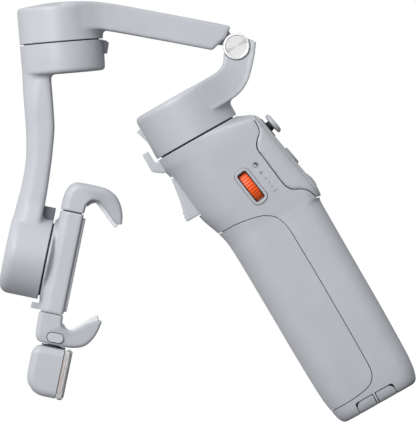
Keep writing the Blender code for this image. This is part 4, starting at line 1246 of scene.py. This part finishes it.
def arm_casing():
    """Upper tilt drum and the fold arm, with the tongue of the fold hinge."""
    crown = [(0.5, 18.7), (6.0, 18.5), (10.0, 18.05), (14.0, 17.6), (17.0, 17.2)]
    drum = turned("arm_drum", crown + arc((18.3, 15.9), 1.0, 84, 0, 7) + [(TILT_RADIUS, -2.0)])
    bar = beam("arm_beam", ARM_EDGES, 0.9)
    tongue = plate("tongue", [(0.5, 4.6), (0.5, 8.4), (-9.0, 8.0), (-9.6, 6.6), (-4.6, 3.2), (0.0, 0.0)],
                   -4.6, 4.6)
    knuckle = round_bar("knuckle", 5.9, -4.7, 4.7, "Y")
    to_tilt = TILT_SEAT.inverted() @ HINGE_SEAT
    casing = fill_inner_corners(gathered("arm_casing", drum, bar), passes=sizes().inner_fillet)
    soften(casing, 0.5, 4)
    combine(casing, "UNION", moved(tongue, to_tilt), moved(knuckle, to_tilt))
    cut(casing, rim_cutter("tilt_rim", TILT_RADIUS, 0.4, 1))
    cut(casing, round_bar("tilt_bay", TILT_RADIUS - HOUSING_WALL, -1.0, 15.6),
        moved(round_bar("arm_bore", 2.3, -20.0, 20.0, "Y"), to_tilt))
    finish_piece(casing, "fold_arm", MATERIALS["shell"], ["fold_arm"], TILT_SEAT)


def roll_arm_casing():
    """Lower tilt drum, curved roll arm and roll drum in one moulding, with two stops."""
    lower = turned("lower_drum", [(TILT_RADIUS, 3.0), (TILT_RADIUS, -8.0), (19.2, -10.5)]
                   + arc((17.4, -12.5), 1.8, 0, -90, 7) + [(0.5, -14.3)])
    arm = beam("roll_beam", finer(ROLL_ARM_CURVE), 2.0)
    drum = turned_to(turned("roll_drum", casing_profile(ROLL_RADIUS, 20.0, 4.8, -1.0)), "X")
    moved(drum, Matrix.Rotation(math.pi, 4, "Z"))
    to_tilt = TILT_SEAT.inverted() @ ROLL_SEAT
    moved(drum, to_tilt)
    casing = fill_inner_corners(gathered("roll_arm_casing", lower, arm, drum), passes=sizes().inner_fillet)
    soften(casing, 0.5, 5)
    cut(casing, rim_cutter("lower_rim", TILT_RADIUS, -0.2, -1))
    roll_rim = moved(turned_to(rim_cutter("roll_rim", ROLL_RADIUS, -1.05, -1), "X"), to_tilt)
    cut(casing, roll_rim)
    cut(casing, round_bar("lower_bay", TILT_RADIUS - HOUSING_WALL, -11.0, 2.0),
        moved(round_bar("roll_bay", ROLL_RADIUS - HOUSING_WALL, -17.0, 2.0, "X"), to_tilt))
    finish_piece(casing, "roll_arm", MATERIALS["shell"], ["roll_arm"], TILT_SEAT)
    tab = [(18.9, -0.6), (20.6, -0.8), (21.8, -2.0), (20.6, -6.8), (18.9, -6.8)]
    finish_piece(plate("tilt_tab", tab, -3.0, 3.0, 0.25), "roll_arm", MATERIALS["stop"],
                 ["tilt_stop_tab"], TILT_SEAT)
    block = rounded_box("roll_block", (-7.5, -4.5, 18.3), (-1.1, 4.5, 24.0), 0.4)
    finish_piece(block, "roll_arm", MATERIALS["stop"], ["roll_arm_stop"], ROLL_SEAT)


def motor_parts():
    """The motors keep their shape and get their real finishes."""
    for motor in ("pan", "tilt", "roll"):
        refinish("dark", motor + "_motor_seat")
        refinish("steel", motor + "_rotor", motor + "_bearing")
        refinish("copper", motor + "_stator")
    refinish("cell", "battery_pack")
    refinish("board", "main_board")
    refinish("steel", "usb_port")


# ---------------------------------------------------------------- phone clamp and light

def rod_bores(low, high):
    """Bores for the clamp's two guide rods."""
    return [round_bar("rod_bore", ROD_BORE_RADIUS, low, high, "Z", (ROD_X, side * ROD_Y, 0.0))
            for side in (-1, 1)]


def phone_clamp():
    """The clamp's bar and its round mount are one blended moulding."""
    boss = [(12.8, 5.0), (12.8, 4.0), (14.2, 2.5), (16.2, 1.6), (18.3, 1.1), (18.8, 0.8), (18.8, -0.05),
            (18.5, -0.3)]
    disc = turned_to(turned("mount_disc", boss), "X")
    ring = rounded_ring(1.3, 12.0, CLAMP_HALF_WIDTH, 4.2, 1.0, 10)
    top = CLAMP_HALF_LENGTH
    bar = lofted("clamp_bar", [[(x, y, level) for x, y in ring] for level in (-top, top)])
    body = fill_inner_corners(gathered("clamp_bar", bar, disc), 0.5, 60)
    soften(body, 0.45, 3)
    lobe = rounded_box("plate_lobe", (0.0, -3.0, -23.3), (1.0, 3.0, -15.0), 0.0)
    tab = rounded_box("plate_tab", (-3.3, -2.2, -23.3), (0.6, 2.2, -20.5), 0.35)
    combine(body, "UNION", lobe, tab)
    cut(body, *rod_bores(-21.5, 40.0))
    finish_piece(body, "clamp", MATERIALS["shell"], ["clamp_body", "clamp_mount_plate"], ROLL_SEAT)
    # Painted shade: a dark slab set in the seam under the upper claw, so the gap reads dark
    seam_shade_piece = rounded_box("jaw_seal", (2.6, -14.4, top - 0.4), (11.0, 14.4, top + 0.5), 0.2)
    cut(seam_shade_piece, *rod_bores(20.0, 40.0))
    finish_piece(seam_shade_piece, "clamp", MATERIALS["dark"], (), ROLL_SEAT)
    back_pad()
    refinish("steel", "clamp_rod_front", "clamp_rod_rear")


def back_pad():
    """Rest behind the phone: a slab with a grooved face."""
    pad = rounded_box("rest_pad", (12.05, -13.0, -22.0), (13.2, 13.0, 22.0), 2.0, "X")
    grooves = 14
    pitch = 40.0 / grooves
    middles = [-20.0 + pitch * (k + 0.5) for k in range(grooves)]
    cut(pad, *[rounded_box("pad_groove", (12.7, -11.5, z - 0.55), (14.0, 11.5, z + 0.55), 0.3, "X")
               for z in middles])
    finish_piece(soften(pad, 0.25, 2), "clamp", MATERIALS["rubber"], ["clamp_back_pad"], ROLL_SEAT)


def claw_blank(name, stations):
    return soften(beam(name, finer(stations), 0.8), 0.42, 5)


def claws():
    """Sliding upper claw, fixed lower claw with the release button, and a pad in each."""
    upper = claw_blank("upper_jaw", UPPER_CLAW_CURVE)
    slot = rounded_box("jaw_slot", (5.9, -12.0, 36.4), (8.4, 12.0, 39.0), 0.5, "Y")
    cut(upper, *rod_bores(20.0, 31.0), slot)
    finish_piece(upper, "clamp_jaw", MATERIALS["shell"], ["upper_claw"], ROLL_SEAT)
    upper_pad = soften(plate("upper_jaw_pad", CLAW_PAD_OUTLINE, -10.0, 10.0), 0.25, 3)
    finish_piece(upper_pad, "clamp_jaw", MATERIALS["rubber"], ["upper_claw_pad"], ROLL_SEAT)
    lower = claw_blank("lower_jaw", LOWER_CLAW_CURVE)
    well = rounded_box("button_well", (6.7, -20.0, -36.95), (14.9, -13.4, -32.05), 2.4, "Y", 10)
    cut(lower, well, round_bar("swivel_bore", 3.0, -45.0, -34.6, "Z", (10.6, 0.0, 0.0)))
    finish_piece(lower, "clamp", MATERIALS["shell"], ["lower_claw"], ROLL_SEAT)
    lower_pad = soften(plate("lower_jaw_pad", mirrored(CLAW_PAD_OUTLINE), -10.0, 10.0), 0.25, 3)
    finish_piece(lower_pad, "clamp", MATERIALS["rubber"], ["lower_claw_pad"], ROLL_SEAT)
    key = rounded_box("clamp_key", (7.05, -16.3, -36.6), (14.55, -14.7, -32.4), 2.05, "Y", 10)
    soften(key, 0.22, 4)
    finish_piece(key, "clamp_button", MATERIALS["button"], ["clamp_button"], ROLL_SEAT)


def fill_light():
    """Light under the clamp: post, case, clear cover, prism sheet, lamp strip and end blocks."""
    wide = LIGHT_HALF_WIDTH
    post = [(2.7, -35.0), (2.7, -38.3), (5.6, -38.3), (5.6, -38.9)]
    finish_piece(moved(turned("light_post", post, 64), seat_at((10.6, 0.0, 0.0))), "light",
                 MATERIALS["dark"], ["swivel_post"], ROLL_SEAT)
    side = ([(22.0, -39.2)] + arc((5.5, -43.2), 4.0, 90, 180) + arc((10.5, -52.9), 9.0, 180, 270)
            + [(22.0, -61.9)])
    case = plate("light_case", side, -wide, wide, 3.0)
    ribs = sizes().light_ribs
    bars = [rounded_box("light_rib", (1.25, -12.0, z - 0.35), (3.0, 12.0, z + 0.35), 0.2)
            for z in [-52.0 + 8.0 * k / (ribs - 1) for k in range(ribs)]]
    soften(gathered("light_case", case, *bars), 0.42, 4)
    cut(case, rounded_box("case_front", (16.2, -40.0, -80.0), (30.0, 40.0, -20.0), 0.0),
        rounded_box("light_bay", (3.5, -wide + 2, -59.9), (20.0, wide - 2, -41.2), 1.0, "X"))
    finish_piece(case, "light", MATERIALS["shell"], ["light_housing"], ROLL_SEAT)
    cover = rounded_box("light_cover", (16.5, -wide, -62.2), (19.7, wide, -39.0), 1.5, None, 6)
    cut(cover, rounded_box("cover_bay", (10.0, -wide + 0.8, -61.4), (18.9, wide - 0.8, -39.8), 0.6))
    finish_piece(cover, "light", MATERIALS["diffuser"], ["light_diffuser"], ROLL_SEAT)
    sheet = rounded_box("prism_sheet", (18.05, -19.9, -61.2), (18.75, 19.9, -40.0), 0.2)
    finish_piece(sheet, "light", MATERIALS["sheet"], (), ROLL_SEAT)
    refinish("board", "led_board")
    lamp_bar = rounded_box("lamp_bar", (17.0, -19.9, -58.5), (17.7, 19.9, -41.2), 0.25)
    finish_piece(lamp_bar, "light", MATERIALS["strip"], ["led_strip"], ROLL_SEAT)
    blocks = [rounded_box("end_block", (16.7, -19.9, low), (18.1, 19.9, high), 0.3)
              for low, high in ((-42.3, -39.6), (-61.6, -58.9))]
    finish_piece(gathered("light_ends", *blocks), "light", MATERIALS["pod"], (), ROLL_SEAT)


# ---------------------------------------------------------------- studio

VIEW_RIGHT = Vector((0.8704, 0.0, -0.4924))
VIEW_UP = Vector((0.4924, 0.0, 0.8704))
VIEW_BACK = Vector((0.0, -1.0, 0.0))
AIM = (-25.2, 0.0, 115.5)
VIEW_HEIGHT = 195.0
LENS = 1000.0
SENSOR = 36.0
NEAR_SIDE = -17.0
KEY_DIRECTION = VIEW_BACK * 0.9 - VIEW_RIGHT * 0.52 + VIEW_UP * 0.45
FILL_DIRECTION = VIEW_RIGHT * 0.95 - VIEW_BACK * 0.3 + VIEW_UP * 0.35
SOFTBOX_DISTANCE = 0.9          # metres


def camera():
    """A long lens, square to the flat side of the handle and turned so that the handle leans."""
    data = bpy.data.cameras.new("camera")
    data.lens = LENS
    data.sensor_width = SENSOR
    distance = VIEW_HEIGHT * LENS / SENSOR
    data.clip_start = 0.01
    data.clip_end = 20.0
    seen_from = bpy.data.objects.new("camera", data)
    bpy.context.scene.collection.objects.link(seen_from)
    turn = Matrix((VIEW_RIGHT, VIEW_UP, VIEW_BACK)).transposed().to_4x4()
    place = Vector(AIM) + VIEW_BACK * (distance - NEAR_SIDE)
    seen_from.matrix_world = Matrix.Translation(place * MM) @ turn
    bpy.context.scene.camera = seen_from


def softbox(name, direction, size, watts):
    """A rectangular area light aimed at the middle of the object, with its size in metres."""
    data = bpy.data.lights.new(name, "AREA")
    data.shape = "RECTANGLE"
    data.size, data.size_y = size
    data.energy = watts
    lamp = bpy.data.objects.new(name, data)
    bpy.context.scene.collection.objects.link(lamp)
    toward = direction.normalized()
    lamp.rotation_euler = toward.to_track_quat("Z", "Y").to_euler()
    lamp.location = Vector(AIM) * MM + toward * SOFTBOX_DISTANCE
    lamp.visible_camera = False


def studio_floor():
    """A floor that is white to look at and casts little light back up."""
    bpy.ops.mesh.primitive_plane_add(size=12.0, location=(0.0, 0.0, -0.0005))
    floor = named("studio_floor")
    material, tree, shader = new_material("pale_floor")
    path = add_node(tree, "ShaderNodeLightPath")
    shader.inputs["Roughness"].default_value = 0.9
    seen = path.outputs["Is Camera Ray"]
    tree.links.new(mixed(tree, seen, (0.16, 0.16, 0.165), (0.02, 0.02, 0.02)), shader.inputs["Base Color"])
    tree.links.new(mixed(tree, seen, (0.0, 0.0, 0.0), (1.0, 1.0, 1.0)), shader.inputs["Emission Color"])
    shader.inputs["Emission Strength"].default_value = 1.0
    floor.data.materials.append(material)


def room_light():
    """White all round for the camera, and softer light on the object."""
    world = bpy.data.worlds.new("studio")
    bpy.context.scene.world = world
    world.use_nodes = True
    tree = world.node_tree
    background = tree.nodes["Background"]
    path = tree.nodes.new("ShaderNodeLightPath")
    room = bpy.context.scene.gimbal_light.room
    background.inputs["Color"].default_value = (1.0, 1.0, 1.0, 1.0)
    level = ramp(tree, path.outputs["Is Camera Ray"], 0.0, 1.0, room, 1.0)
    tree.links.new(level, background.inputs["Strength"])


def stage():
    """Camera, room, two softboxes and floor."""
    light = bpy.context.scene.gimbal_light
    camera()
    room_light()
    softbox("key", KEY_DIRECTION, (0.3, 0.7), light.key)
    softbox("fill", FILL_DIRECTION, (0.3, 0.9), light.fill)
    studio_floor()
    bpy.context.scene.view_settings.view_transform = "Standard"


# ---------------------------------------------------------------- operators and panel

class GimbalOperator:
    """An operator that runs its steps in order. A step that fails raises its error."""
    bl_options = {"REGISTER", "UNDO"}
    steps = ()

    def execute(self, context):
        for step in self.steps:
            step()
        return {"FINISHED"}


class GIMBAL_OT_finishes(GimbalOperator, bpy.types.Operator):
    """Make the materials that the pieces share"""
    bl_idname = "gimbal.finishes"
    bl_label = "Mix finishes"
    steps = (mix_finishes,)


class GIMBAL_OT_handle(GimbalOperator, bpy.types.Operator):
    """Build the two half shells, the soft grip, the hook, the trigger and the base"""
    bl_idname = "gimbal.handle"
    bl_label = "Handle"
    steps = (handle_shells, pod_gasket, soft_grip, hook_and_trigger, base_and_tripod, printed_marks)


class GIMBAL_OT_dial(GimbalOperator, bpy.types.Operator):
    """Build the ribbed dial and its frame"""
    bl_idname = "gimbal.dial"
    bl_label = "Dial"
    steps = (dial,)


class GIMBAL_OT_pod(GimbalOperator, bpy.types.Operator):
    """Build the clip-on control pod with its joystick and buttons"""
    bl_idname = "gimbal.pod"
    bl_label = "Control pod"
    steps = (control_pod,)


class GIMBAL_OT_arms(GimbalOperator, bpy.types.Operator):
    """Build the three motor casings with their arms and the hinge caps"""
    bl_idname = "gimbal.arms"
    bl_label = "Motor casings and arms"
    steps = (pan_casing, hinge_caps, arm_casing, roll_arm_casing, motor_parts)


class GIMBAL_OT_clamp(GimbalOperator, bpy.types.Operator):
    """Build the phone clamp with its claws, pads and button"""
    bl_idname = "gimbal.clamp"
    bl_label = "Phone clamp"
    steps = (phone_clamp, claws)


class GIMBAL_OT_light(GimbalOperator, bpy.types.Operator):
    """Build the fill light under the clamp"""
    bl_idname = "gimbal.light"
    bl_label = "Fill light"
    steps = (fill_light,)


class GIMBAL_OT_stage(GimbalOperator, bpy.types.Operator):
    """Set the camera, floor and softboxes"""
    bl_idname = "gimbal.stage"
    bl_label = "Studio"
    steps = (stage,)


OPERATORS = (GIMBAL_OT_finishes, GIMBAL_OT_handle, GIMBAL_OT_dial, GIMBAL_OT_pod, GIMBAL_OT_arms,
             GIMBAL_OT_clamp, GIMBAL_OT_light, GIMBAL_OT_stage)


class GIMBAL_PT_build(bpy.types.Panel):
    """Sizes, colours and build steps"""
    bl_label = "Folding gimbal"
    bl_idname = "GIMBAL_PT_build"
    bl_space_type = "VIEW_3D"
    bl_region_type = "UI"
    bl_category = "Gimbal"

    def draw(self, context):
        scene = context.scene
        for group in (scene.gimbal_sizes, scene.gimbal_colours, scene.gimbal_light):
            box = self.layout.box()
            for name in group.bl_rna.properties.keys():
                if name not in ("rna_type", "name"):
                    box.prop(group, name)
        for operator in OPERATORS:
            self.layout.operator(operator.bl_idname)


GROUPS = (("gimbal_sizes", GimbalSizes), ("gimbal_colours", GimbalColours), ("gimbal_light", StudioLight))


def register():
    for name, group in GROUPS:
        bpy.utils.register_class(group)
        setattr(bpy.types.Scene, name, bpy.props.PointerProperty(type=group))
    for item in (*OPERATORS, GIMBAL_PT_build):
        bpy.utils.register_class(item)


def unregister():
    for item in reversed((*OPERATORS, GIMBAL_PT_build)):
        bpy.utils.unregister_class(item)
    for name, group in reversed(GROUPS):
        delattr(bpy.types.Scene, name)
        bpy.utils.unregister_class(group)


def main():
    register()
    bpy.ops.gimbal.finishes()
    bpy.ops.gimbal.handle()
    bpy.ops.gimbal.dial()
    bpy.ops.gimbal.pod()
    bpy.ops.gimbal.arms()
    bpy.ops.gimbal.clamp()
    bpy.ops.gimbal.light()
    bpy.ops.gimbal.stage()


if __name__ == "__main__":
    main()
